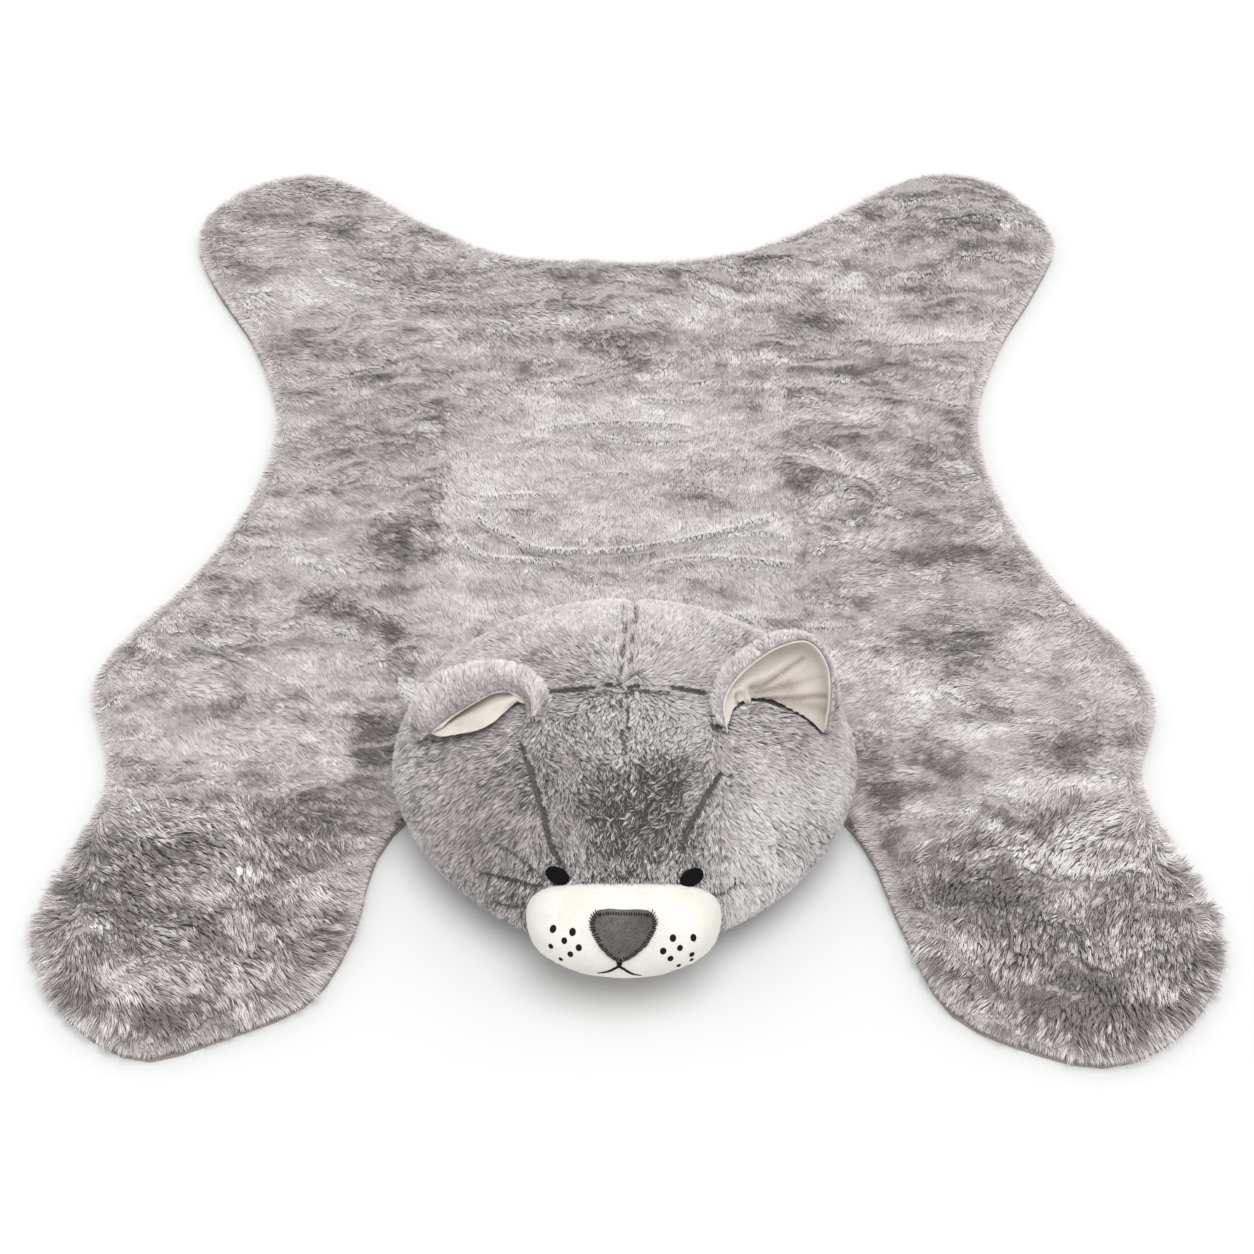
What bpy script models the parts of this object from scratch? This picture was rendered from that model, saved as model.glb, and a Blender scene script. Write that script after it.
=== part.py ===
"""Animal shaped kids rug: a faux fur pelt with four paws on a cloth backing, and a
stuffed head with a muzzle, a felt nose, stitched eyes and two lined ears.

Metres, +Z up, the floor at z = 0. The head points to -Y and the hind paws to +Y.
Left and right are the left and right of someone who looks at the face.
"""

import math

import bmesh
import bpy
import numpy as np
from mathutils import Vector, noise
from mathutils.geometry import delaunay_2d_cdt

MM = 0.001

# ---- driving sizes -------------------------------------------------------------

CURVE_STEPS = 10                   # points of a smooth curve between two given ones
LATTICE_CLEARANCE = 0.6            # shares of a lattice's spacing that stay free
LATTICE_EDGE_CLEARANCE = 0.55
TROUGH_SPREAD = 0.7                # of a trough's half width, for its bell shape
TROUGH_CLEARANCE = 0.45            # of a trough's half width, round its mesh points
ROW_CLEARANCE = 0.85               # of a row's inset, between the row and the edge

SHARP_ANGLE = math.radians(60.0)   # edges sharper than this aren't shaded smooth
PIECE_GAP = 0.3 * MM
SEWN_GAP = 0.4 * MM                # between curved skins that follow each other

BACKING_THICKNESS = 2.0 * MM
BACKING_INSET = 5.0 * MM          # from the pelt's widest line

PELT_TOP = 22.0 * MM              # pile top over the plain body
PELT_UNDERSIDE = BACKING_THICKNESS + PIECE_GAP
PELT_WIDEST = 9.0 * MM            # height at which the pile reaches furthest out
PELT_TUCK = 4.0 * MM              # how far the underside lies inside the widest line
PELT_EDGE_ROUND = 20.0 * MM
PELT_PAW_EDGE_ROUND = 34.0 * MM
PELT_LOCK_PITCH = 14.0 * MM       # half the spacing of the locks round the rim
PELT_LOCK_DEPTH = 1.2 * MM
PELT_PAW_LOCK_DEPTH = 3.0 * MM
PELT_LOCK_UNEVENNESS = 0.3        # share by which a lock's depth varies
PELT_LATTICE = 28.0 * MM
PELT_LUMP = 2.2 * MM
PELT_LUMP_LENGTH = 0.13           # lumps are long across the pelt, short along it
PELT_LUMP_BREADTH = 0.055
CREASE_HALF_WIDTH = 9.0 * MM
CREASE_STEP = 16.0 * MM

SEAT_TOP = 20.0 * MM              # the pile pressed flat under the head
SEAT_RADIUS = 195.0 * MM
SEAT_BLEND = 32.0 * MM

HEAD_MIDDLE = (-0.002, -0.2975)
HEAD_FRONT_POINT = 1.8            # 2 is an oval, less draws the face to the muzzle
HEAD_LATTICE = 19.0 * MM
HEAD_RIM_POINTS = 44
HEAD_FIT_STEPS = 1500              # along the head, to lay a place out
SEAM_DEPTH = 4.5 * MM
SEAM_HALF_WIDTH = 8.0 * MM
SEAM_STEP = 13.0 * MM
PATCH_MARGIN = 3.0 * MM           # of the finer mesh inside a sewn-on piece's edge
PATCH_CLEARANCE = 0.5             # of that margin, between its points and others

STEP_CLEARANCE = 3.0 * MM         # between the head and the pelt's neck edge
STEP_REACH = 0.30                 # round the head's middle, where the step runs
STEP_FRONT = -0.42                # the step stays behind this line
STEP_OVERSHOOT = 0.1              # past the head on both sides
STEP_CUT_DEPTH = 20.0 * MM        # below the floor

MUZZLE_WIDTH = 176.0 * MM
MUZZLE_HEIGHT = 107.0 * MM
MUZZLE_MIDDLE = (-0.003, -0.489, 0.065)
MUZZLE_SLOPE = math.radians(33.0)  # how far the muzzle's face looks up
MUZZLE_UPPER_POWER = 0.56          # under 1 is squarer than an oval
MUZZLE_LOWER_POWER = 0.90
MUZZLE_PUFF = 31.0 * MM
MUZZLE_SHOULDER = 36.0 * MM        # from the seam to the full puff
MUZZLE_ROUNDNESS = 0.8             # power of the puff's sine
MUZZLE_LATTICE = 10.0 * MM
MUZZLE_EDGE = 1.6 * MM
MUZZLE_TURNS = 200
MUZZLE_RIM_PITCH = 9.0 * MM

NOSE_WIDTH = 45.0 * MM
NOSE_HEIGHT = 29.8 * MM
NOSE_RISE = 23.0 * MM              # of the nose above the muzzle's middle
NOSE_THICKNESS = 2.2 * MM
EYE_WIDTH = 19.0 * MM
EYE_HEIGHT = 13.0 * MM
EYE_THICKNESS = 3.0 * MM
EYE_POINTS = 14

EAR_FUR_THICKNESS = 8.5 * MM
EAR_LINING_THICKNESS = 2.2 * MM
EAR_RIM_THICKNESS = 2.5 * MM       # of the fur where it meets the lining
EAR_THINNING = 0.6                 # share of the way to the rim where the fur thins
EAR_STEPS_ACROSS = 20
EAR_STEPS_ALONG = 8
EAR_FLOOR_LIFT = 4.5 * MM          # of the left lining over the head
EAR_FLOOR_SHARES = (0.65, 0.3)     # places of its floor between lip and cup
EAR_FOOT_STEPS = 2                 # steps of the cup below that lining's floor
EAR_TIP_ROWS = 1                   # rows at each tip that the lining leaves free

# ---- tables --------------------------------------------------------------------

# Widest line of the pelt, in mm, from the rump round a hind paw, the flank, a front
# paw and up to the neck, which the head hides.
# place, left x, left y, right x, right y
PELT_OUTLINE = (
    ("tail", -27, 431, 27, 431),
    ("rump", -132, 443, 130, 449),
    ("hind inner", -224, 495, 221, 501),
    ("hind heel", -307, 559, 306, 563),
    ("hind back", -356, 577, 356, 578),
    ("hind outer", -410, 562, 410, 562),
    ("hind side", -462, 520, 456, 518),
    ("hind front", -479, 463, 477, 460),
    ("thigh", -452, 386, 449, 385),
    ("flank rear", -400, 293, 400, 291),
    ("waist rear", -370, 205, 371, 203),
    ("waist", -369, 139, 368, 139),
    ("waist front", -391, 49, 390, 40),
    ("belly", -430, -32, 429, -46),
    ("shoulder rear", -481, -103, 482, -122),
    ("shoulder", -509, -165, 502, -190),
    ("wrist", -482, -275, 477, -278),
    ("paw rear", -505, -365, 501, -363),
    ("paw outer", -527, -440, 527, -445),
    ("paw side", -511, -492, 512, -499),
    ("paw corner", -464, -547, 461, -557),
    ("paw front", -408, -573, 403, -579),
    ("paw toe", -342, -552, 342, -565),
    ("paw inner", -268, -514, 274, -527),
    ("paw gap", -235, -447, 236, -439),
    ("notch", -218, -360, 212, -360),
    ("neck corner", -178, -309, 176, -309),
    ("neck", -60, -290, 60, -290),
)

# Rows of the pelt's mesh that follow its rim: inset in mm, each how many-th point
PELT_EDGE_ROWS = ((3.5, 1), (9.0, 2), (16.0, 2))

# place, x and y of the middle in mm, spread in mm, rise in mm
PELT_SWELLS = (
    ("left front paw", -385, -455, 95, 9.0),
    ("right front paw", 385, -455, 95, 9.0),
    ("left shoulder", -400, -190, 80, 2.5),
    ("right shoulder", 400, -190, 80, 2.5),
    ("left hind paw", -372, 470, 90, 4.0),
    ("right hind paw", 372, 470, 90, 4.0),
    ("belly", 0, 90, 150, 1.5),
)

# place, depth in mm, then x and y of its start, bend and end in mm
PELT_CREASES = (
    ("belly fold rear", 4.5, -160, 49, -28, -20, 148, 38),
    ("belly fold left", 4.0, -182, 14, -125, -12, -60, -14),
    ("belly fold right", 4.0, 30, -14, 92, -12, 168, -24),
    ("back fold", 3.5, -92, 163, 0, 152, 72, 166),
    ("back fold left", 3.0, -146, 68, -98, 60, -52, 70),
    ("left flank fold", 3.0, -362, 233, -300, 240, -238, 270),
    ("right flank fold", 3.0, 178, 145, 214, 120, 246, 86),
    ("left shoulder fold", 3.5, -441, -107, -366, -141, -297, -183),
    ("right shoulder fold", 3.5, 283, -183, 346, -213, 410, -221),
    ("left paw fold", 5.0, -262, -372, -340, -407, -424, -438),
    ("left toe fold", 5.0, -440, -500, -399, -478, -352, -480),
    ("right paw fold", 5.5, 258, -378, 272, -439, 312, -504),
    ("right toe fold", 5.0, 372, -424, 400, -452, 425, -490),
)

# Level cuts of the head without its muzzle, in mm, from the crown to the floor.
# height, half width, reach to the front, reach to the back
HEAD_LEVELS = (
    (160, 0, 0, 0),
    (157, 50, 46, 42),
    (151, 88, 84, 74),
    (140, 127, 118, 107),
    (124, 163, 148, 137),
    (104, 189, 171, 160),
    (82, 204, 187, 174),
    (60, 210, 194, 179),
    (38, 206, 188, 175),
    (18, 188, 171, 162),
    (5, 161, 149, 140),
    (0, 138, 128, 120),
)

# Sewn seams of the head as points on it, in mm: name, depth factor, (x, y, z) ...
HEAD_SEAMS = (
    ("back seam", 1.0, (7, -123, 70), (5, -170, 129), (1, -229, 151), (-2, -282, 159),
     (-2, -330, 158)),
    ("crown seam", 0.9, (-68, -288, 155), (-32, -286, 158), (-2, -282, 159),
     (40, -285, 157), (66, -288, 153)),
    ("left brow seam", 0.9, (-88, -337, 150), (-80, -358, 147), (-71, -392, 140),
     (-62, -428, 125)),
    ("right brow seam", 0.9, (90, -340, 148), (86, -367, 143), (72, -402, 136),
     (60, -426, 126)),
    ("left cheek crease", 0.9, (-110, -428, 105), (-94, -440, 104), (-80, -449, 103)),
    ("right cheek crease", 0.9, (120, -440, 78), (106, -447, 83), (94, -452, 88)),
)

# Sections of each ear's cloth, in mm, from its left tip to its right one. Each runs
# from the root on the head over the crest to the rim: x, y and z of the three.
EAR_SECTIONS = {
    "left": (
        ((-182, -300, 110), (-181, -308, 122), (-174, -318, 124)),
        ((-177, -278, 114), (-177, -286, 141), (-163, -315, 139)),
        ((-158, -270, 128), (-157, -279, 156), (-146, -309, 150)),
        ((-135, -268, 137), (-133, -277, 165), (-128, -301, 157)),
        ((-112, -268, 143), (-109, -278, 168), (-109, -294, 161)),
        ((-92, -276, 147), (-88, -286, 167), (-92, -300, 160)),
        ((-80, -290, 150), (-76, -302, 163), (-86, -313, 158)),
        ((-80, -312, 150), (-78, -319, 155), (-88, -324, 154)),
    ),
    "right": (
        ((88, -320, 146), (82, -325, 153), (86, -332, 152)),
        ((96, -300, 146), (80, -300, 158), (83, -309, 162)),
        ((104, -292, 144), (88, -280, 166), (92, -292, 171)),
        ((112, -288, 141), (108, -264, 174), (110, -277, 180)),
        ((122, -288, 138), (131, -251, 179), (134, -265, 188)),
        ((134, -290, 133), (152, -250, 176), (157, -262, 189)),
        ((148, -294, 127), (169, -266, 163), (173, -278, 178)),
        ((160, -300, 119), (176, -288, 142), (176, -300, 157)),
        ((170, -306, 112), (175, -304, 124), (173, -312, 130)),
    ),
}
# Front edge of the left ear's lining, which lies forward over the head, in mm.
EAR_LIP = (
    (-170, -313, 125), (-161, -321, 132), (-144, -323, 139), (-127, -323, 145),
    (-112, -316, 149), (-101, -306, 153), (-95, -300, 155), (-92, -304, 156),
)

# Outline of the nose in units of its half width and half height, from its top left
# corner clockwise: a flat top, round corners and a blunt point a little to the left.
NOSE_OUTLINE = (
    (-0.80, 0.97), (0.0, 1.0), (0.80, 0.95), (1.0, 0.60), (0.88, 0.12),
    (0.40, -0.62), (-0.08, -1.0), (-0.45, -0.70), (-0.82, -0.02), (-1.0, 0.55),
)

# side, x, y, z of the eye's middle on the head in mm
EYES = (
    ("left", -58, -452, 110),
    ("right", 54, -453, 109),
)

# part, red, green, blue, roughness
FINISHES = {
    "rug_body": (0.45, 0.42, 0.42, 0.95),
    "backing": (0.34, 0.30, 0.28, 0.9),
    "head": (0.48, 0.44, 0.44, 0.95),
    "ear_left_fur": (0.46, 0.42, 0.42, 0.95),
    "ear_right_fur": (0.46, 0.42, 0.42, 0.95),
    "ear_left_lining": (0.86, 0.83, 0.77, 0.85),
    "ear_right_lining": (0.86, 0.83, 0.77, 0.85),
    "muzzle": (0.93, 0.90, 0.85, 0.9),
    "nose": (0.14, 0.14, 0.145, 0.85),
    "eye_left": (0.01, 0.01, 0.012, 0.5),
    "eye_right": (0.01, 0.01, 0.012, 0.5),
}


# ---- curves and plan geometry --------------------------------------------------

def smooth_curve(points, closed=False, steps=CURVE_STEPS):
    """Points of a smooth curve that passes through the given ones."""
    points = np.asarray(points, float)
    count = len(points)
    if closed:
        around = [points[i % count] for i in range(-1, count + 2)]
    else:
        first = 2 * points[0] - points[1]
        last = 2 * points[-1] - points[-2]
        around = [first, *points, last]
    curve = []
    for before, start, end, after in zip(around, around[1:], around[2:], around[3:]):
        knots = [math.sqrt(np.linalg.norm(b - a))
                 for a, b in ((before, start), (start, end), (end, after))]
        leave = (end - start) + knots[1] * ((start - before) / knots[0]
                                            - (end - before) / (knots[0] + knots[1]))
        arrive = (end - start) + knots[1] * ((after - end) / knots[2]
                                             - (after - start) / (knots[1] + knots[2]))
        for t in np.arange(steps) / steps:
            curve.append((2 * t**3 - 3 * t**2 + 1) * start + (t**3 - 2 * t**2 + t) * leave
                         + (3 * t**2 - 2 * t**3) * end + (t**3 - t**2) * arrive)
    if not closed:
        curve.append(points[-1])
    return np.array(curve)


def spaced(curve, spacing, closed=False):
    """Points along a curve at an even spacing, near the one given."""
    if closed:
        curve = np.vstack([curve, curve[:1]])
    lengths = np.linalg.norm(np.diff(curve, axis=0), axis=1)
    along = np.concatenate([[0.0], np.cumsum(lengths)])
    count = max(2, round(along[-1] / spacing))
    places = np.linspace(0.0, along[-1], count + 1)
    if closed:
        places = places[:-1]
    return np.column_stack([np.interp(places, along, column) for column in curve.T])


def even_turns(count):
    """Even angles round a full turn."""
    return np.linspace(0.0, 2.0 * math.pi, count, endpoint=False)


def distance_to(points, line, closed=False):
    """Distance of each point to a line of straight stretches."""
    starts = line if closed else line[:-1]
    ends = np.roll(line, -1, axis=0) if closed else line[1:]
    nearest = np.full(len(points), np.inf)
    for start, end in zip(starts, ends):
        run = end - start
        t = np.clip((points - start) @ run / max(run @ run, 1e-12), 0.0, 1.0)
        gap = np.linalg.norm(points - start - t[:, None] * run, axis=1)
        nearest = np.minimum(nearest, gap)
    return nearest


def is_inside(points, loop):
    """Whether each plan point lies inside a closed loop."""
    inside = np.zeros(len(points), bool)
    x, y = points[:, 0], points[:, 1]
    for (x0, y0), (x1, y1) in zip(loop, np.roll(loop, -1, axis=0)):
        if y0 != y1:
            crosses = (y0 > y) != (y1 > y)
            inside ^= crosses & (x < (x1 - x0) * (y - y0) / (y1 - y0) + x0)
    return inside


def sideways(line, closed=False):
    """Unit vectors to the left of a plan line at each of its points."""
    if closed:
        run = np.roll(line, -1, axis=0) - np.roll(line, 1, axis=0)
    else:
        run = np.gradient(line, axis=0)
    run /= np.linalg.norm(run, axis=1)[:, None]
    return np.column_stack([-run[:, 1], run[:, 0]])


def turn_of(loop):
    """+1 for a loop that runs anticlockwise, -1 for a clockwise one."""
    x, y = loop.T
    return math.copysign(1.0, np.sum(x * np.roll(y, -1) - y * np.roll(x, -1)))


def inner_ring(loop, inset):
    """A loop drawn in by a given distance."""
    return loop + sideways(loop, closed=True) * inset * turn_of(loop)


def lattice(loop, spacing):
    """A three-way lattice of plan points inside a loop, clear of its edge."""
    low, high = loop.min(axis=0), loop.max(axis=0)
    rows = []
    for row, y in enumerate(np.arange(low[1], high[1], spacing * math.sqrt(0.75))):
        x = np.arange(low[0] + (row % 2) * spacing / 2, high[0], spacing)
        rows.append(np.column_stack([x, np.full(len(x), y)]))
    points = np.vstack(rows)
    points = points[is_inside(points, loop)]
    from_edge = distance_to(points, loop, closed=True)
    return points[from_edge > LATTICE_EDGE_CLEARANCE * spacing]


def thin_out(points, kept, clearance):
    """The points that stand clear of all the kept ones."""
    clear = [np.min(np.linalg.norm(kept - point, axis=1)) > clearance for point in points]
    return points[np.array(clear, bool)]


def ribbon(line, half_width, step):
    """Plan points along a trough: its bottom and both of its shoulders."""
    bottom = spaced(line, step)
    side = sideways(bottom) * half_width
    return bottom, np.vstack([bottom - side, bottom + side])


def filling(loop, spacing, kept):
    """The lattice inside a loop, without its points close to the kept ones."""
    return thin_out(lattice(loop, spacing), kept, LATTICE_CLEARANCE * spacing)


def trough(points, line, half_width):
    """A bell-shaped share from 1 on a line to nearly 0 beyond the half width."""
    return np.exp(-(distance_to(points, line) / (TROUGH_SPREAD * half_width)) ** 2)


def smoothstep(x):
    """An even change from 0 at x = 0 to 1 at x = 1, with soft ends."""
    x = np.clip(x, 0.0, 1.0)
    return x * x * (3.0 - 2.0 * x)


# ---- meshes --------------------------------------------------------------------

def triangulate(loops, points):
    """Triangles over plan points; the first loop bounds them, the others are kept
    as edges. Gives the plan points and the triangles."""
    places = np.vstack([*loops, points])
    edges = []
    first = 0
    for loop in loops:
        ring = range(first, first + len(loop))
        edges += list(zip(ring, [*ring[1:], first]))
        first += len(loop)
    outer = [list(range(len(loops[0])))]
    found = delaunay_2d_cdt([Vector(p) for p in places], edges, outer, 1, 1e-7)
    return np.array([tuple(p) for p in found[0]]), found[2]


def make_object(bm, name):
    """The object of a closed bmesh, which faces out and is used up."""
    bmesh.ops.recalc_face_normals(bm, faces=bm.faces)
    mesh = bpy.data.meshes.new(name)
    bm.to_mesh(mesh)
    bm.free()
    thing = bpy.data.objects.new(name, mesh)
    bpy.context.scene.collection.objects.link(thing)
    return thing


def make_piece(bm, name):
    """A piece of the rug from a closed bmesh, shaded smooth, with its own finish."""
    piece = make_object(bm, name)
    piece.data.shade_smooth()
    piece.data.set_sharp_from_angle(angle=SHARP_ANGLE)
    piece.data.materials.append(make_finish(name))
    return piece


def make_cutter(bm, name):
    """A hidden solid that pieces are cut with."""
    cutter = make_object(bm, name)
    cutter.hide_render = True
    cutter.display_type = "WIRE"
    return cutter


def cut_away(piece, cutter, name):
    """Take a cutter's form out of a piece."""
    cut = piece.modifiers.new(name, "BOOLEAN")
    cut.operation = "DIFFERENCE"
    cut.object = cutter


def make_finish(name):
    """A material with the part's plain colour and roughness."""
    red, green, blue, roughness = FINISHES[name]
    material = bpy.data.materials.new(name)
    material.use_nodes = True
    surface = material.node_tree.nodes["Principled BSDF"]
    surface.inputs["Base Color"].default_value = (red, green, blue, 1.0)
    surface.inputs["Roughness"].default_value = roughness
    surface.inputs["Metallic"].default_value = 0.0
    return material


def skin(places, triangles):
    """An open bmesh of the given points and triangles."""
    bm = bmesh.new()
    verts = [bm.verts.new(place) for place in places]
    for corners in triangles:
        bm.faces.new([verts[i] for i in corners])
    bm.normal_update()
    return bm


def rim_edges(bm):
    """The edges that bound an open bmesh."""
    return [edge for edge in bm.edges if edge.is_boundary]


def slab(loop, low, high):
    """A closed bmesh with a plan loop's outline between two heights."""
    bm = bmesh.new()
    sheet = bm.faces.new([bm.verts.new((x, y, low)) for x, y in loop])
    lifted = bmesh.ops.extrude_face_region(bm, geom=[sheet])["geom"]
    top = [item for item in lifted if isinstance(item, bmesh.types.BMVert)]
    bmesh.ops.translate(bm, verts=top, vec=(0.0, 0.0, high - low))
    return bm


# ---- pelt and backing ----------------------------------------------------------

def pelt_outline():
    """Widest line of the pelt as an even closed curve that runs anticlockwise."""
    right = [(row[3], row[4]) for row in PELT_OUTLINE]
    left = [(row[1], row[2]) for row in reversed(PELT_OUTLINE)]
    curve = smooth_curve(np.array(right + left) * MM, closed=True)
    outline = spaced(curve, PELT_LOCK_PITCH, closed=True)
    return outline if turn_of(outline) > 0.0 else outline[::-1]


def paw_share(points):
    """How much each plan point belongs to a front paw, from 0 to 1."""
    share = np.zeros(len(points))
    for place, x, y, spread, _ in PELT_SWELLS:
        if "front paw" in place:
            away = np.linalg.norm(points - np.array((x, y)) * MM, axis=1)
            share = np.maximum(share, 1.0 - smoothstep(away / (spread * MM) - 1.0))
    return share


def pelt_rim(outline):
    """The outline with its locks of pile: each second point is drawn in."""
    count = len(outline) // 2 * 2
    outline = outline[:count]
    depth = PELT_LOCK_DEPTH + (PELT_PAW_LOCK_DEPTH - PELT_LOCK_DEPTH) * paw_share(outline)
    uneven = [1.0 + PELT_LOCK_UNEVENNESS * (2.0 * noise.random() - 1.0) for _ in range(count)]
    drawn_in = depth * uneven * (np.arange(count) % 2)
    return outline + sideways(outline, closed=True) * drawn_in[:, None]


def crease_lines():
    """Plan line and depth of each fold across the pelt."""
    lines = []
    for _, depth, *ends in PELT_CREASES:
        points = np.array(ends).reshape(3, 2) * MM
        lines.append((smooth_curve(points), depth * MM))
    return lines


def pelt_height(points, rim):
    """Height of the pile's top over each plan point."""
    top = np.full(len(points), PELT_TOP)
    for _, x, y, spread, rise in PELT_SWELLS:
        away = np.linalg.norm(points - np.array((x, y)) * MM, axis=1)
        top += rise * MM * np.exp(-(away / (spread * MM)) ** 2)
    for i, (x, y) in enumerate(points):
        place = Vector((x / PELT_LUMP_LENGTH, y / PELT_LUMP_BREADTH, 0.0))
        top[i] += PELT_LUMP * noise.noise(place)
    for line, depth in crease_lines():
        top -= depth * trough(points, line, CREASE_HALF_WIDTH)
    edge_round = PELT_EDGE_ROUND + (PELT_PAW_EDGE_ROUND - PELT_EDGE_ROUND) * paw_share(points)
    inward = np.clip(distance_to(points, rim, closed=True) / edge_round, 0.0, 1.0)
    height = PELT_WIDEST + (top - PELT_WIDEST) * np.sqrt(1.0 - (1.0 - inward) ** 2)
    away = np.linalg.norm(points - np.array(HEAD_MIDDLE), axis=1)
    free = smoothstep((away - SEAT_RADIUS) / SEAT_BLEND)
    return np.minimum(height, SEAT_TOP) * (1.0 - free) + height * free


def pelt_points(rim):
    """Inner points of the pelt: rows that follow the rim, the folds and a lattice."""
    inner = []
    for inset, keep in PELT_EDGE_ROWS:
        row = inner_ring(rim, inset * MM)[::keep]
        row = row[is_inside(row, rim)]
        from_edge = distance_to(row, rim, closed=True)
        inner.append(row[from_edge > ROW_CLEARANCE * inset * MM])
    kept = np.vstack([rim, *inner])
    for line, _ in crease_lines():
        bottom, shoulders = ribbon(line, CREASE_HALF_WIDTH, CREASE_STEP)
        for row in (bottom, shoulders):
            row = thin_out(row[is_inside(row, rim)], kept, TROUGH_CLEARANCE * CREASE_HALF_WIDTH)
            kept = np.vstack([kept, row])
            inner.append(row)
    return np.vstack([*inner, filling(rim, PELT_LATTICE, kept)])


def make_pelt(rim):
    """The pelt: one lumpy slab of pile with rounded edges and a flat underside."""
    plan, triangles = triangulate([rim], pelt_points(rim))
    heights = pelt_height(plan, rim)
    bm = skin(np.column_stack([plan, heights]), triangles)
    inward = sideways(rim, closed=True)
    side = bmesh.ops.extrude_edge_only(bm, edges=rim_edges(bm))["geom"]
    for vert in [item for item in side if isinstance(item, bmesh.types.BMVert)]:
        place = np.array(vert.co[:2])
        nearest = int(np.argmin(np.linalg.norm(rim - place, axis=1)))
        vert.co.xy = place + inward[nearest] * PELT_TUCK
        vert.co.z = PELT_UNDERSIDE
    bmesh.ops.edgeloop_fill(bm, edges=rim_edges(bm))
    make_piece(bm, "rug_body")


def make_backing(outline):
    """The cloth backing: one flat sheet, a little smaller than the pelt."""
    loop = inner_ring(outline, BACKING_INSET)[::2]
    make_piece(slab(loop, 0.0, BACKING_THICKNESS), "backing")


# ---- head ----------------------------------------------------------------------

class HeadForm:
    """The head's outer form, laid out flat: the crown is the middle of the layout
    and a point's distance from it is its way along the head."""

    def __init__(self):
        rows = np.array(HEAD_LEVELS, float) * MM
        over_crown = rows[1] * (1, -1, -1, -1)
        curve = smooth_curve(np.vstack([over_crown, rows]))[CURVE_STEPS:]
        steps = np.linalg.norm(np.diff(curve[:, :2], axis=0), axis=1)
        self.way = np.concatenate([[0.0], np.cumsum(steps)])
        self.levels = curve

    def reach(self, way, bearing):
        """Height and distance from the middle line at a way and a bearing."""
        height, half_width, front, back = (np.interp(way, self.way, column)
                                           for column in self.levels.T)
        faces_front = np.sin(bearing) < 0.0
        depth = np.where(faces_front, front, back)
        power = np.where(faces_front, HEAD_FRONT_POINT, 2.0)
        across = np.abs(np.cos(bearing) * depth) ** power
        along = np.abs(np.sin(bearing) * half_width) ** power
        scale = np.maximum(across + along, 1e-12) ** (1.0 / power)
        return height, half_width * depth / scale

    def places(self, layout):
        """Points on the head for points of its layout."""
        way = np.linalg.norm(layout, axis=1)
        bearing = np.arctan2(layout[:, 1], layout[:, 0])
        height, away = self.reach(way, bearing)
        return np.column_stack([HEAD_MIDDLE[0] + away * np.cos(bearing),
                                HEAD_MIDDLE[1] + away * np.sin(bearing), height])

    def layout(self, places):
        """Points of the layout for points that lie near the head."""
        found = []
        for x, y, z in np.asarray(places, float):
            across, along = x - HEAD_MIDDLE[0], y - HEAD_MIDDLE[1]
            bearing = math.atan2(along, across)
            way = np.linspace(0.0, self.way[-1], HEAD_FIT_STEPS)
            height, away = self.reach(way, np.full(len(way), bearing))
            best = np.argmin(np.hypot(away - math.hypot(across, along), height - z))
            found.append((way[best] * math.cos(bearing), way[best] * math.sin(bearing)))
        return np.array(found)


def on_muzzle(shape):
    """Points of the muzzle's face plane, given in metres across and up its slope."""
    up = np.array((0.0, math.sin(MUZZLE_SLOPE), math.cos(MUZZLE_SLOPE)))
    across = np.array((1.0, 0.0, 0.0))
    return np.array(MUZZLE_MIDDLE) + np.outer(shape[:, 0], across) + np.outer(shape[:, 1], up)


def muzzle_shape():
    """The muzzle's outline: a wide oval, squarer above its middle than below."""
    turns = even_turns(MUZZLE_TURNS)
    round_shape = np.column_stack([np.cos(turns), np.sin(turns)])
    power = np.where(round_shape[:, 1:] > 0.0, MUZZLE_UPPER_POWER, MUZZLE_LOWER_POWER)
    squarer = np.sign(round_shape) * np.abs(round_shape) ** power
    curve = squarer * (MUZZLE_WIDTH / 2.0, MUZZLE_HEIGHT / 2.0)
    return spaced(curve, MUZZLE_RIM_PITCH, closed=True)


def nose_shape():
    """The nose's outline on the muzzle: a rounded triangle, point down."""
    corners = np.array(NOSE_OUTLINE) * (NOSE_WIDTH / 2.0, NOSE_HEIGHT / 2.0)
    corners[:, 1] += NOSE_RISE
    return smooth_curve(corners, closed=True, steps=2)


def eye_ring(form, x, y, z):
    """Outline of an eye on the head's layout."""
    middle = form.layout([(x * MM, y * MM, z * MM)])[0]
    turns = even_turns(EYE_POINTS)
    outward = middle / np.linalg.norm(middle)
    across = np.array((-outward[1], outward[0]))
    return (middle + np.outer(np.cos(turns) * EYE_WIDTH / 2.0, across)
            + np.outer(np.sin(turns) * EYE_HEIGHT / 2.0, outward))


def head_seams(form):
    """Layout line and depth of each seam of the head."""
    lines = []
    for _, factor, *points in HEAD_SEAMS:
        laid = form.layout(np.array(points) * MM)
        lines.append((smooth_curve(laid), factor * SEAM_DEPTH))
    return lines


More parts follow.
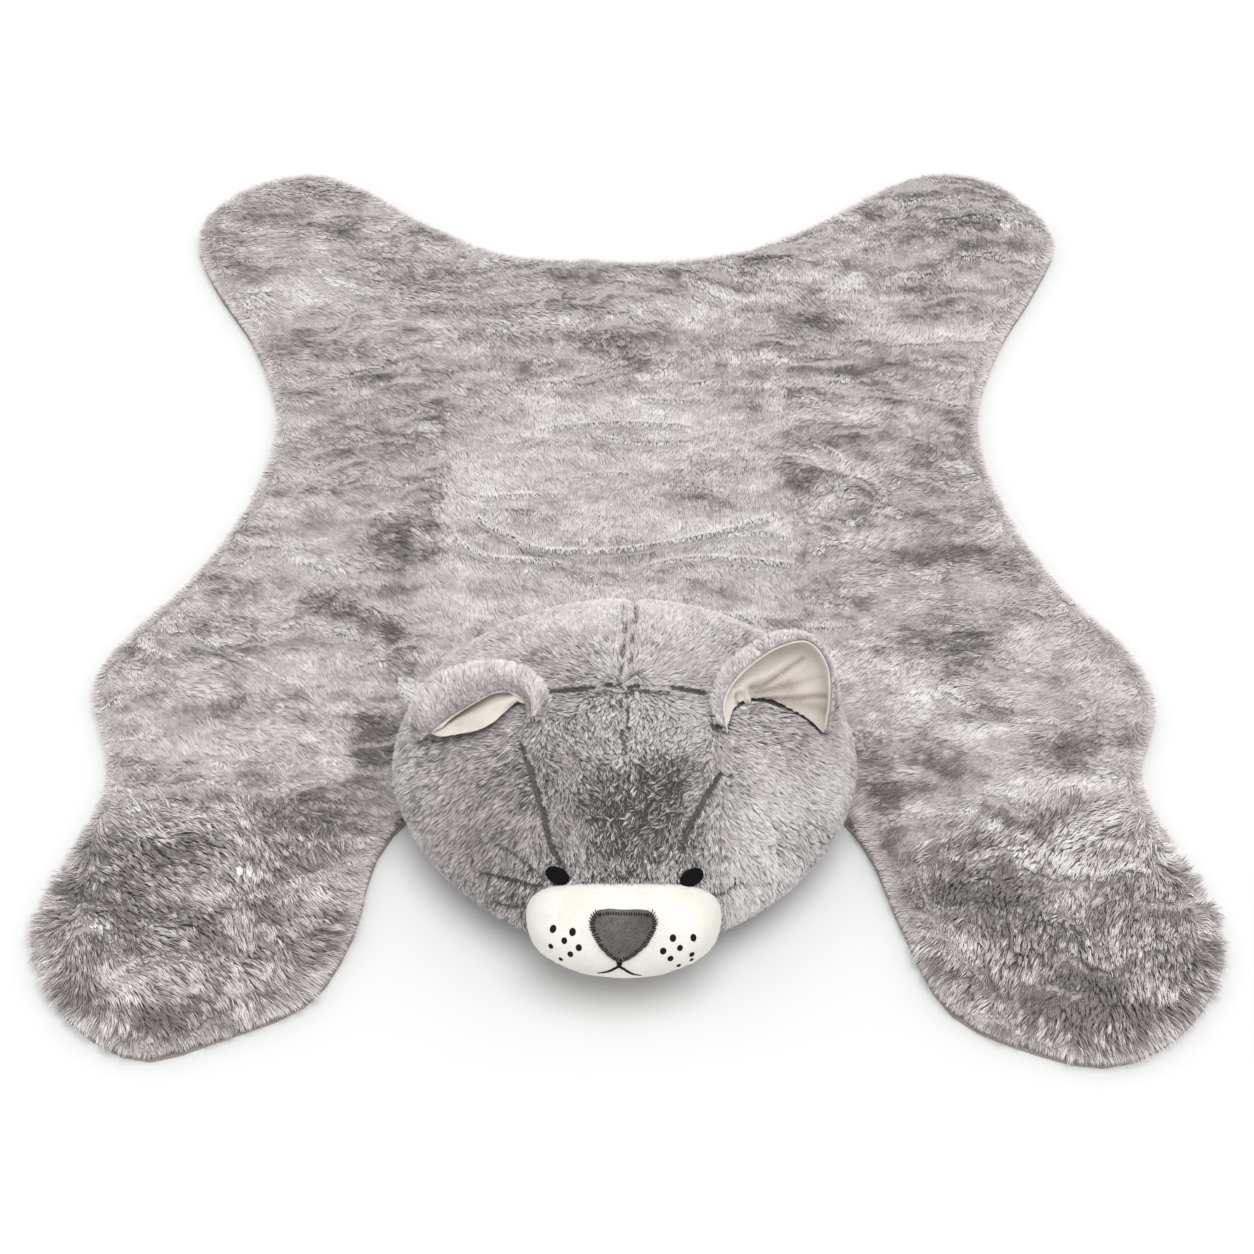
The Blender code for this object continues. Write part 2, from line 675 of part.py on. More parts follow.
def head_layout(form, loops):
    """Inner points of the head's layout: patches, seams and a lattice."""
    rim, muzzle = loops[0], loops[1]
    kept = np.vstack(loops)
    inner = []
    for loop in loops[1:]:
        row = inner_ring(loop, PATCH_MARGIN)
        inner.append(thin_out(row, kept, PATCH_CLEARANCE * PATCH_MARGIN))
        kept = np.vstack([kept, inner[-1]])
    for line, _ in head_seams(form):
        bottom, shoulders = ribbon(line, SEAM_HALF_WIDTH, SEAM_STEP)
        for row in (bottom, shoulders):
            row = thin_out(row[is_inside(row, rim)], kept, TROUGH_CLEARANCE * SEAM_HALF_WIDTH)
            kept = np.vstack([kept, row])
            inner.append(row)
    fine = filling(muzzle, MUZZLE_LATTICE, kept)
    kept = np.vstack([kept, fine])
    return np.vstack([*inner, fine, filling(rim, HEAD_LATTICE, kept)])


def head_skin(form, loops):
    """Layout, places and triangles of the head's skin with its seams drawn in."""
    plan, triangles = triangulate(loops, head_layout(form, loops))
    bm = skin(form.places(plan), triangles)
    normals = np.array([tuple(vert.normal) for vert in bm.verts])
    places = np.array([tuple(vert.co) for vert in bm.verts])
    bm.free()
    if normals[:, 2].sum() < 0.0:
        normals = -normals
    sunk = np.zeros(len(plan))
    for line, depth in head_seams(form):
        sunk = np.maximum(sunk, depth * trough(plan, line, SEAM_HALF_WIDTH))
    return plan, places - normals * sunk[:, None], normals, triangles


def head_body(places, triangles):
    """A closed bmesh of the head's skin and its flat base."""
    bm = skin(places, triangles)
    bmesh.ops.edgeloop_fill(bm, edges=rim_edges(bm))
    return bm


def make_head(places, triangles, outline):
    """The stuffed head: one filled body, stepped up where it lies on the pelt."""
    head = make_piece(head_body(places, triangles), "head")
    cut_away(head, make_step_cutter(outline), "step over the pelt")


def make_step_cutter(outline):
    """A block over the pelt's neck, a little larger than the pelt there."""
    near = np.linalg.norm(outline - np.array(HEAD_MIDDLE), axis=1) < STEP_REACH
    neck = inner_ring(outline, -STEP_CLEARANCE)
    edge = neck[near & (outline[:, 1] > STEP_FRONT)]
    edge = edge[np.argsort(edge[:, 0])]
    (left, left_y), (right, right_y) = edge[0], edge[-1]
    left -= STEP_OVERSHOOT
    right += STEP_OVERSHOOT
    corners = [(left, left_y), *edge, (right, right_y), (right, 0.0), (left, 0.0)]
    return make_cutter(slab(corners, -STEP_CUT_DEPTH, SEAT_TOP + PIECE_GAP), "step_cutter")


def make_patch(name, places, normals, triangles, heights):
    """A sewn-on piece over some of a skin's triangles: its back lies a gap above
    them and its face stands off by the given heights. Gives the face's places."""
    back = places + normals * SEWN_GAP
    face = back + normals * heights[:, None]
    used = sorted({corner for corners in triangles for corner in corners})
    bm = bmesh.new()
    low = {i: bm.verts.new(back[i]) for i in used}
    high = {i: bm.verts.new(face[i]) for i in used}
    uses = set()
    for corners in triangles:
        bm.faces.new([high[i] for i in corners])
        bm.faces.new([low[i] for i in reversed(corners)])
        uses.update(zip(corners, [*corners[1:], corners[0]]))
    for a, b in sorted(uses):
        if (b, a) not in uses:
            bm.faces.new([high[b], high[a], low[a], low[b]])
    make_piece(bm, name)
    return face


def under(plan, triangles, loop):
    """The triangles whose middles lie inside a loop of the layout."""
    middles = np.array([plan[list(corners)].mean(axis=0) for corners in triangles])
    covered = is_inside(middles, loop)
    return [corners for corners, inside in zip(triangles, covered) if inside]


# ---- ears ----------------------------------------------------------------------

def loft(sections, across, along):
    """A grid of places over smooth sections: across the ear, then along each."""
    lines = [spaced_count(smooth_curve(np.array(section, float) * MM), along)
             for section in sections]
    columns = [spaced_count(smooth_curve(np.array(column)), across)
               for column in zip(*lines)]
    return np.array(columns).transpose(1, 0, 2)


def spaced_count(curve, count):
    """A given number of even points along an open curve."""
    lengths = np.linalg.norm(np.diff(curve, axis=0), axis=1)
    along = np.concatenate([[0.0], np.cumsum(lengths)])
    places = np.linspace(0.0, along[-1], count)
    return np.column_stack([np.interp(places, along, column) for column in curve.T])


def grid_normals(grid):
    """Unit normals of a grid of places, pointing out of the cup that it forms."""
    across = np.gradient(grid, axis=0)
    along = np.gradient(grid, axis=1)
    normals = np.cross(across, along)
    normals /= np.linalg.norm(normals, axis=2)[:, :, None]
    row, column = len(grid) // 2, grid.shape[1] // 2
    outward = grid[row, column] - grid.reshape(-1, 3).mean(axis=0)
    return normals * math.copysign(1.0, normals[row, column] @ outward)


def make_shell(name, near, far):
    """A closed sheet between two grids of places of the same size."""
    bm = bmesh.new()
    rows, columns = near.shape[:2]
    low = [[bm.verts.new(near[i, j]) for j in range(columns)] for i in range(rows)]
    high = [[bm.verts.new(far[i, j]) for j in range(columns)] for i in range(rows)]
    for grid in (low, high):
        for i in range(rows - 1):
            for j in range(columns - 1):
                bm.faces.new([grid[i][j], grid[i + 1][j], grid[i + 1][j + 1], grid[i][j + 1]])
    bmesh.ops.bridge_loops(bm, edges=rim_edges(bm))
    return make_piece(bm, name)


def on_floor(form, place):
    """A place of the lining's floor: a little above the head, under the one given."""
    return form.places(form.layout([place]))[0] + (0.0, 0.0, EAR_FLOOR_LIFT)


def lining_grid(side, form, grid):
    """The lining's grid: the ear's own, and on the left a floor that runs forward
    over the head from the foot of the cup to its lip."""
    if side == "right":
        return grid
    wall = grid[EAR_TIP_ROWS:-EAR_TIP_ROWS, EAR_FOOT_STEPS:]
    lips = spaced_count(smooth_curve(np.array(EAR_LIP) * MM), len(wall))
    rows = []
    for lip, row in zip(lips, wall):
        floor = [on_floor(form, row[0] + (lip - row[0]) * share)
                 for share in EAR_FLOOR_SHARES]
        rows.append([lip, *floor, *row])
    return np.array(rows)


def make_ear(side, form, head_clearance):
    """One ear: the fur outside and its lining inside, both cut to sit on the head."""
    grid = loft(EAR_SECTIONS[side], EAR_STEPS_ACROSS, EAR_STEPS_ALONG)
    outward = grid_normals(grid)
    along = np.linspace(0.0, 1.0, EAR_STEPS_ALONG)
    thinned = np.clip((along - EAR_THINNING) / (1.0 - EAR_THINNING), 0.0, 1.0)
    full = np.sqrt(1.0 - thinned ** 2)
    thickness = EAR_RIM_THICKNESS + (EAR_FUR_THICKNESS - EAR_RIM_THICKNESS) * full
    near = grid + outward * SEWN_GAP
    fur = make_shell(f"ear_{side}_fur", near, near + outward * thickness[None, :, None])
    cloth = lining_grid(side, form, grid)
    inside = cloth - grid_normals(cloth) * EAR_LINING_THICKNESS
    lining = make_shell(f"ear_{side}_lining", cloth, inside)
    for piece in (fur, lining):
        cut_away(piece, head_clearance, "fit to the head")


# ---- the whole rug -------------------------------------------------------------

def clear_scene():
    """Remove whatever stands in the scene."""
    for thing in list(bpy.data.objects):
        bpy.data.objects.remove(thing, do_unlink=True)


def make_rug():
    """The flat rug: pelt and backing, centred on the frame. Gives its outline."""
    outline = pelt_outline()
    rim = pelt_rim(outline)
    middle = (rim.min(axis=0) + rim.max(axis=0)) / 2.0
    make_pelt(rim - middle)
    make_backing(outline - middle)
    return outline - middle


def make_face(form, plan, places, normals, triangles, patches):
    """The pieces sewn on the head's front: muzzle, nose on the muzzle, and eyes."""
    seam = form.places(patches["muzzle"])
    from_seam = distance_to(places, seam, closed=True) / MUZZLE_SHOULDER
    swell = np.sin(np.clip(from_seam, 0.0, 1.0) * math.pi / 2.0) ** MUZZLE_ROUNDNESS
    covered = {name: under(plan, triangles, loop) for name, loop in patches.items()}
    muzzle = make_patch("muzzle", places, normals, covered["muzzle"],
                        MUZZLE_EDGE + MUZZLE_PUFF * swell)
    nose_thickness = np.full(len(plan), NOSE_THICKNESS)
    make_patch("nose", muzzle, normals, covered["nose"], nose_thickness)
    eye_thickness = np.full(len(plan), EYE_THICKNESS)
    for side, *_ in EYES:
        name = f"eye_{side}"
        make_patch(name, places, normals, covered[name], eye_thickness)


def main():
    """Build the whole rug."""
    clear_scene()
    noise.seed_set(7)
    outline = make_rug()

    form = HeadForm()
    turns = even_turns(HEAD_RIM_POINTS)
    rim_loop = form.way[-1] * np.column_stack([np.cos(turns), np.sin(turns)])
    patches = {"muzzle": form.layout(on_muzzle(muzzle_shape())),
               "nose": form.layout(on_muzzle(nose_shape()))}
    for side, *middle in EYES:
        patches[f"eye_{side}"] = eye_ring(form, *middle)
    plan, places, normals, triangles = head_skin(form, [rim_loop, *patches.values()])
    make_head(places, triangles, outline)
    make_face(form, plan, places, normals, triangles, patches)

    grown = head_body(places + normals * SEWN_GAP, triangles)
    head_clearance = make_cutter(grown, "head_clearance")
    for side in EAR_SECTIONS:
        make_ear(side, form, head_clearance)


main()
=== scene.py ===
"""Looks of the animal shaped kids rug: its pile, cloth, sewing, floor and light."""

import logging
import math
from abc import ABC, abstractmethod
from dataclasses import dataclass, field, fields
from enum import Enum

import bmesh
import bpy
import numpy as np
from mathutils import Matrix, Vector
from mathutils.bvhtree import BVHTree
from mathutils.geometry import convex_hull_2d
from mathutils.kdtree import KDTree
from numpy.typing import NDArray


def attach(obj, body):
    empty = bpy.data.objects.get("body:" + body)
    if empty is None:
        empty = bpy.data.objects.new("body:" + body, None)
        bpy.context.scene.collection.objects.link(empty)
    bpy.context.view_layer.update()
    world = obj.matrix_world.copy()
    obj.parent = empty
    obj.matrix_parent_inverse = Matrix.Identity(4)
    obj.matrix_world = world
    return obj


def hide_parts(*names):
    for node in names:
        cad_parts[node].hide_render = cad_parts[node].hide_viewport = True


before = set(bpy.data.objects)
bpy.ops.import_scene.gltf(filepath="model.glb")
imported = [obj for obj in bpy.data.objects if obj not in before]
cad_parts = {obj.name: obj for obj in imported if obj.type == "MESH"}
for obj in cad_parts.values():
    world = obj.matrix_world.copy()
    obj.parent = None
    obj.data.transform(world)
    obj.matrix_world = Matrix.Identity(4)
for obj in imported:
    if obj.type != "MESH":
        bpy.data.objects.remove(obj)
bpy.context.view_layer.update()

Numbers = NDArray[np.float64]
Indices = NDArray[np.int64]
Thing = bpy.types.Object
Material = bpy.types.Material
Colour = tuple[float, float, float]

LOG = logging.getLogger("rug")
MM = 0.001
BODY = "root"
BAKE_MAP = "OFBake"
MERGE = 0.00001
TRIANGLES_A_PIECE = 185_000

# Of the seeded wander: how many values it draws from, how far apart two seeds lie,
# and what mixes a cell's three numbers into one.
DRIFT_VALUES = 4096
DRIFT_STEP = 7.31
DRIFT_KEYS = (73856093, 19349663, 83492791)

# ---- numbers ----


def unit(vectors: Numbers) -> Numbers:
    """Rows scaled to length one."""
    return vectors / np.maximum(np.linalg.norm(vectors, axis=-1, keepdims=True), 1e-12)


def dot(a: Numbers, b: Numbers) -> Numbers:
    """Row by row dot products, as a column."""
    return np.sum(a * b, axis=-1, keepdims=True)


def smoothstep(x: Numbers) -> Numbers:
    """0 below 0, 1 above 1, and a soft rise between."""
    t = np.clip(x, 0.0, 1.0)
    return t * t * (3.0 - 2.0 * t)


def bell(x: Numbers, breadth: float) -> Numbers:
    """1 at 0, and next to nothing two breadths away from it."""
    return np.exp(-((x / breadth) ** 2))


def drift(points: Numbers, size: tuple[float, float, float], seed: int) -> Numbers:
    """Smooth values from -1 to 1 that wander over the points.

    Args:
        points: Places, in metres.
        size: Breadth of a wander along each axis, in metres.
        seed: Which wander it is.

    Returns:
        One value for each point.
    """
    table = np.random.default_rng(seed).uniform(-1.0, 1.0, DRIFT_VALUES)
    places = points / np.array(size) + seed * DRIFT_STEP
    base = np.floor(places).astype(np.int64)
    part = smoothstep(places - base)
    total = np.zeros(len(points))
    for corner in np.ndindex(2, 2, 2):
        key = np.abs((base + corner) @ DRIFT_KEYS) % len(table)
        share = np.prod(np.where(corner, part, 1.0 - part), axis=1)
        total += table[key] * share
    return total


def even(size: float, seed: int) -> tuple[float, float, float, int]:
    """A wander as broad one way as another, in mm."""
    return size, size, size, seed


def flat(across: float, along: float, seed: int) -> tuple[float, float, float, int]:
    """A wander over the plan only, in mm across and along the rug."""
    return across, along, 1000.0, seed


class Wander(Enum):
    """What wanders over the rug: its breadth in mm along each axis, and its seed."""

    COMB_BROAD = even(60.0, 31)
    COMB_FINE = even(18.0, 32)
    PARTING = even(9.0, 33)
    COMBED_RIM = even(26.0, 34)
    OBLONG_EDGE = even(50.0, 35)
    RIM_EDGE = even(9.0, 36)
    TONE_BROAD = flat(85.0, 30.0, 41)
    TONE = flat(34.0, 13.0, 42)
    TONE_FINE = flat(13.0, 7.0, 43)
    LOOSENESS = flat(60.0, 35.0, 44)
    LUMPS = flat(48.0, 20.0, 45)
    LUMPS_FINE = flat(15.0, 9.0, 46)
    PATCH_ACROSS = even(42.0, 47)
    PATCH_ACROSS_FINE = even(14.0, 48)
    PATCH_ALONG = even(42.0, 49)
    PATCH_ALONG_FINE = even(14.0, 50)
    LENGTH = even(24.0, 51)
    WAVE_BEND = flat(130.0, 80.0, 61)
    WAVE_WOBBLE = flat(38.0, 30.0, 62)
    WAVE_FRAY = flat(9.0, 9.0, 63)
    WAVE_STRENGTH = flat(80.0, 40.0, 64)
    HEAD_TURN = even(30.0, 71)
    HEAD_TURN_FINE = even(8.0, 72)
    HEAD_TONE = even(42.0, 73)
    HEAD_TONE_FINE = even(15.0, 74)
    HEAD_LOOSENESS = even(34.0, 75)
    HEAD_CURLS = even(3.6, 76)
    EAR_TURN = even(12.0, 91)
    EAR_TONE = even(16.0, 92)
    EAR_LOOSENESS = even(22.0, 93)

    def over(self, points: Numbers) -> Numbers:
        """Its value at each point, from -1 to 1."""
        *size, seed = self.value
        return drift(points, tuple(part * MM for part in size), seed)


def swing(ways: Numbers, across: Numbers, turns: Numbers) -> Numbers:
    """Directions turned towards others, each by its own angle in radians."""
    return ways * np.cos(turns)[:, None] + across * np.sin(turns)[:, None]


def point_tree(points: Numbers) -> KDTree:
    """A search tree over points.

    Args:
        points: Places, one a row.

    Returns:
        The tree, ready to be asked.
    """
    tree = KDTree(len(points))
    for i, point in enumerate(points):
        tree.insert(point, i)
    tree.balance()
    return tree


def nearest(points: Numbers, others: Numbers) -> tuple[Indices, Numbers]:
    """Find the nearest of some other points.

    Args:
        points: Where it is looked for.
        others: What is looked for.

    Returns:
        For each point which of the others is nearest, and how far it is.
    """
    tree = point_tree(others)
    index, distance = zip(*(tree.find(point)[1:] for point in points))
    return np.array(index), np.array(distance)


def distance_to_line(points: Numbers, line: Numbers,
                     reach: float) -> tuple[Indices, Numbers, Numbers]:
    """Find the plan points near a plan line.

    Args:
        points: Plan points.
        line: Points of the line.
        reach: How far from the line's box points are looked for.

    Returns:
        Which points are near, their distance, and how far they lie on its left.
    """
    low, high = line.min(axis=0) - reach, line.max(axis=0) + reach
    near = np.flatnonzero(np.all((points > low) & (points < high), axis=1))
    best, left = np.full(len(near), 1e9), np.zeros(len(near))
    for a, b in zip(line[:-1], line[1:]):
        way = b - a
        share = np.clip((points[near] - a) @ way / (way @ way), 0.0, 1.0)
        away = points[near] - (a + share[:, None] * way)
        distance = np.linalg.norm(away, axis=1)
        side = np.sign(way[0] * away[:, 1] - way[1] * away[:, 0])
        closer = distance < best
        best = np.where(closer, distance, best)
        left = np.where(closer, distance * side, left)
    return near, best, left


def smooth_line(points: Numbers, steps: int) -> Numbers:
    """A smooth open curve through points.

    Args:
        points: What it runs through, one a row.
        steps: How many places it has from each point to the next.

    Returns:
        Places along the curve.
    """
    padded = np.vstack([2 * points[0] - points[1], points, 2 * points[-1] - points[-2]])
    curve = []
    for i in range(1, len(padded) - 2):
        a, b, c, d = padded[i - 1 : i + 3]
        for t in np.linspace(0.0, 1.0, steps, endpoint=False):
            curve.append(
                0.5 * (2 * b + (c - a) * t + (2 * a - 5 * b + 4 * c - d) * t**2
                       + (3 * b - a - 3 * c + d) * t**3)
            )
    curve.append(points[-1])
    return np.array(curve)


# ---- skins ----

# Two triangles become one four-sided face up to these angles.
SAME_FACE_ANGLE = math.radians(35.0)
SAME_SHAPE_ANGLE = math.radians(60.0)


def placed(name: str, data: bpy.types.ID) -> Thing:
    """Put data into the scene.

    Args:
        name: Of the object.
        data: Its mesh, curve, light or camera.

    Returns:
        The object.
    """
    thing = bpy.data.objects.new(name, data)
    bpy.context.scene.collection.objects.link(thing)
    return thing


def merged(node: str) -> bmesh.types.BMesh:
    """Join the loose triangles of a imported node.

    Args:
        node: Its name in the frame.

    Returns:
        Its mesh, to be freed after use.
    """
    bm = bmesh.new()
    bm.from_mesh(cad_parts[node].data)
    bmesh.ops.remove_doubles(bm, verts=bm.verts, dist=MERGE)
    return bm


def merged_copy(node: str, name: str) -> Thing:
    """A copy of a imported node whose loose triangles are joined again."""
    return from_bmesh(merged(node), name)


def from_bmesh(bm: bmesh.types.BMesh, name: str) -> Thing:
    """Make an object of a mesh, shaded smooth.

    Args:
        bm: The mesh, which is freed.
        name: Of the object.

    Returns:
        The object.
    """
    for face in bm.faces:
        face.smooth = True
    mesh = bpy.data.meshes.new(name)
    bm.to_mesh(mesh)
    bm.free()
    return placed(name, mesh)


def refine(thing: Thing, levels: int, exact: bool = True) -> None:
    """Subdivide an object's mesh smoothly.

    Args:
        thing: The object.
        levels: How many times each face is divided.
        exact: Whether the finer mesh still passes through the points it had.
    """
    bm = bmesh.new()
    bm.from_mesh(thing.data)
    bmesh.ops.join_triangles(
        bm, faces=bm.faces, angle_face_threshold=SAME_FACE_ANGLE,
        angle_shape_threshold=SAME_SHAPE_ANGLE,
    )
    bm.to_mesh(thing.data)
    bm.free()
    wanted = places_of(thing)
    subdivision = thing.modifiers.new("finer", "SUBSURF")
    subdivision.levels = levels
    subdivision.render_levels = levels
    for last in (False, False, True) if exact else (True,):
        bpy.context.view_layer.update()
        graph = bpy.context.evaluated_depsgraph_get()
        finer = bpy.data.meshes.new_from_object(thing.evaluated_get(graph))
        if not last:
            drawn = triples(finer.vertices, "co")[: len(wanted)]
            move_to(thing, places_of(thing) + wanted - drawn)
            bpy.data.meshes.remove(finer)
    thing.modifiers.clear()
    thing.data = finer
    for face in finer.polygons:
        face.use_smooth = True


def triples(rows: bpy.types.bpy_prop_collection, key: str) -> Numbers:
    """Read three numbers from each row of a mesh.

    Args:
        rows: The mesh's points or their normals.
        key: Which of their values.

    Returns:
        One row for each of them.
    """
    values = np.zeros(len(rows) * 3, np.float32)
    rows.foreach_get(key, values)
    return values.reshape(-1, 3).astype(float)


def places_of(thing: Thing) -> Numbers:
    """The places of a mesh's points."""
    return triples(thing.data.vertices, "co")


def normals_of(thing: Thing) -> Numbers:
    """The normals at a mesh's points."""
    return triples(thing.data.vertex_normals, "vector")


def move_to(thing: Thing, places: Numbers) -> None:
    """Put a mesh's points at new places."""
    thing.data.vertices.foreach_set("co", places.astype(np.float32).ravel())
    thing.data.update()


def tree_of(*things: Thing) -> BVHTree:
    """One search tree over the surfaces of several objects.

    Args:
        things: The objects.

    Returns:
        The tree.
    """
    points: list[Vector] = []
    faces: list[list[int]] = []
    for thing in things:
        start = len(points)
        points += [vertex.co.copy() for vertex in thing.data.vertices]
        faces += [[start + i for i in face.vertices] for face in thing.data.polygons]
    return BVHTree.FromPolygons(points, faces)


def distances(points: Numbers, tree: BVHTree) -> Numbers:
    """How far each place is from a surface."""
    return np.array([tree.find_nearest(Vector(point))[3] for point in points])


def nodes_tree(*names: str) -> BVHTree:
    """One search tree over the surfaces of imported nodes."""
    return tree_of(*(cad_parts[name] for name in names))


def finish_with(thing: Thing, finish: Material) -> None:
    """Give an object its material, in place of any it has."""
    thing.data.materials.clear()
    thing.data.materials.append(finish)


@dataclass
class Roots:
    """Where strands stand on a skin, and the skin's normals there."""

    places: Numbers
    normals: Numbers

    def keep(self, which: NDArray[np.bool_]) -> "Roots":
        """Only some of the roots."""
        return Roots(self.places[which], self.normals[which])

    def clear_of(self, tree: BVHTree, reach: float) -> "Roots":
        """The roots over which nothing lies within the reach.

        Args:
            tree: Surfaces that would press on the pile.
            reach: How far over the skin they are looked for, in metres.

        Returns:
            The roots that stay.
        """
        free = [
            tree.ray_cast(Vector(place), Vector(normal), reach)[0] is None
            for place, normal in zip(self.places, self.normals)
        ]
        return self.keep(np.array(free))


def scatter(skin: Thing, each: float, seed: int) -> Roots:
    """Roots spread evenly over a skin.

    Args:
        skin: The object whose faces carry them.
        each: Area of skin for one root, in square metres.
        seed: Of the random draws.

    Returns:
        The roots, in the order of the skin's faces.
    """
    rng = np.random.default_rng(seed)
    mesh = skin.data
    mesh.calc_loop_triangles()
    corners = np.zeros(len(mesh.loop_triangles) * 3, np.int32)
    mesh.loop_triangles.foreach_get("vertices", corners)
    corners = corners.reshape(-1, 3)
    places, normals = places_of(skin)[corners], normals_of(skin)[corners]
    cross = np.cross(places[:, 1] - places[:, 0], places[:, 2] - places[:, 0])
    area = np.cumsum(np.linalg.norm(cross, axis=1) / 2.0)
    count = int(area[-1] / each)
    at = (np.arange(count) + rng.random(count)) * area[-1] / count
    index = np.minimum(np.searchsorted(area, at), len(area) - 1)
    root, second = np.sqrt(rng.random(count)), rng.random(count)
    shares = np.column_stack([1.0 - root, root * (1.0 - second), root * second])[:, :, None]
    return Roots(
        (places[index] * shares).sum(axis=1), unit((normals[index] * shares).sum(axis=1))
    )


# ---- pile ----


class Strand(Enum):
    """How a strand is made."""

    STRAIGHT = "one flat triangle"
    BENT = "a bent strip with a point"


# How far up a bent strand its bend is, and how far its sides' tones lie from its own.
BEND = 0.55
SIDE_TONE = 0.02


@dataclass(frozen=True)
class StrandCut:
    """A strand's points: how far along it each is, its change of tone, the faces."""

    along: tuple[float, ...]
    tone: tuple[float, ...]
    faces: tuple[tuple[int, int, int], ...]


STRAND_CUTS = {
    Strand.STRAIGHT: StrandCut((0.0, 0.0, 1.0), (-SIDE_TONE, SIDE_TONE, 0.0), ((0, 1, 2),)),
    Strand.BENT: StrandCut((0.0, 0.0, BEND, BEND, 1.0),
                           (-SIDE_TONE, SIDE_TONE, -SIDE_TONE, SIDE_TONE, 0.0),
                           ((0, 1, 2), (1, 3, 2), (2, 3, 4))),
}


@dataclass(frozen=True)
class Cluster:
    """How strands gather: in metres, and shares of a strand's length and tone."""

    breadth: float
    pull: float
    tone: float
    # gap: painted shade that darkens strands at a cluster's border, between the locks.
    gap: float


@dataclass(frozen=True)
class PileStyle:
    """The make of some pile.

    Attributes:
        length: Of a strand, in metres.
        width: Of a strand at its root, in metres.
        lean: From upright, in degrees.
        lean_spread: How much the lean varies, in degrees.
        turn_spread: How much the way over the skin varies, in degrees.
        curl: How far a cluster's tips swing sideways, as a share of the length.
        strand: How a strand is made.
        clusters: How the strands gather, from small to large.
        roundness: How much a strand's two sides shade apart.
        roll_spread: How much strands roll about themselves, in degrees.
        own_tone: How far the single strands' tones lie apart.
    """

    length: float
    width: float
    lean: float
    lean_spread: float
    turn_spread: float
    curl: float
    strand: Strand
    clusters: tuple[Cluster, ...]
    roundness: float = 0.5
    roll_spread: float = 22.0
    own_tone: float = 0.10


@dataclass
class Strands:
    """What grows at each root: its way over the skin, length, tone, and how loose
    and how upright it is, both from 0 to 1."""

    flow: Numbers
    length: Numbers
    tone: Numbers
    loose: Numbers
    upright: Numbers


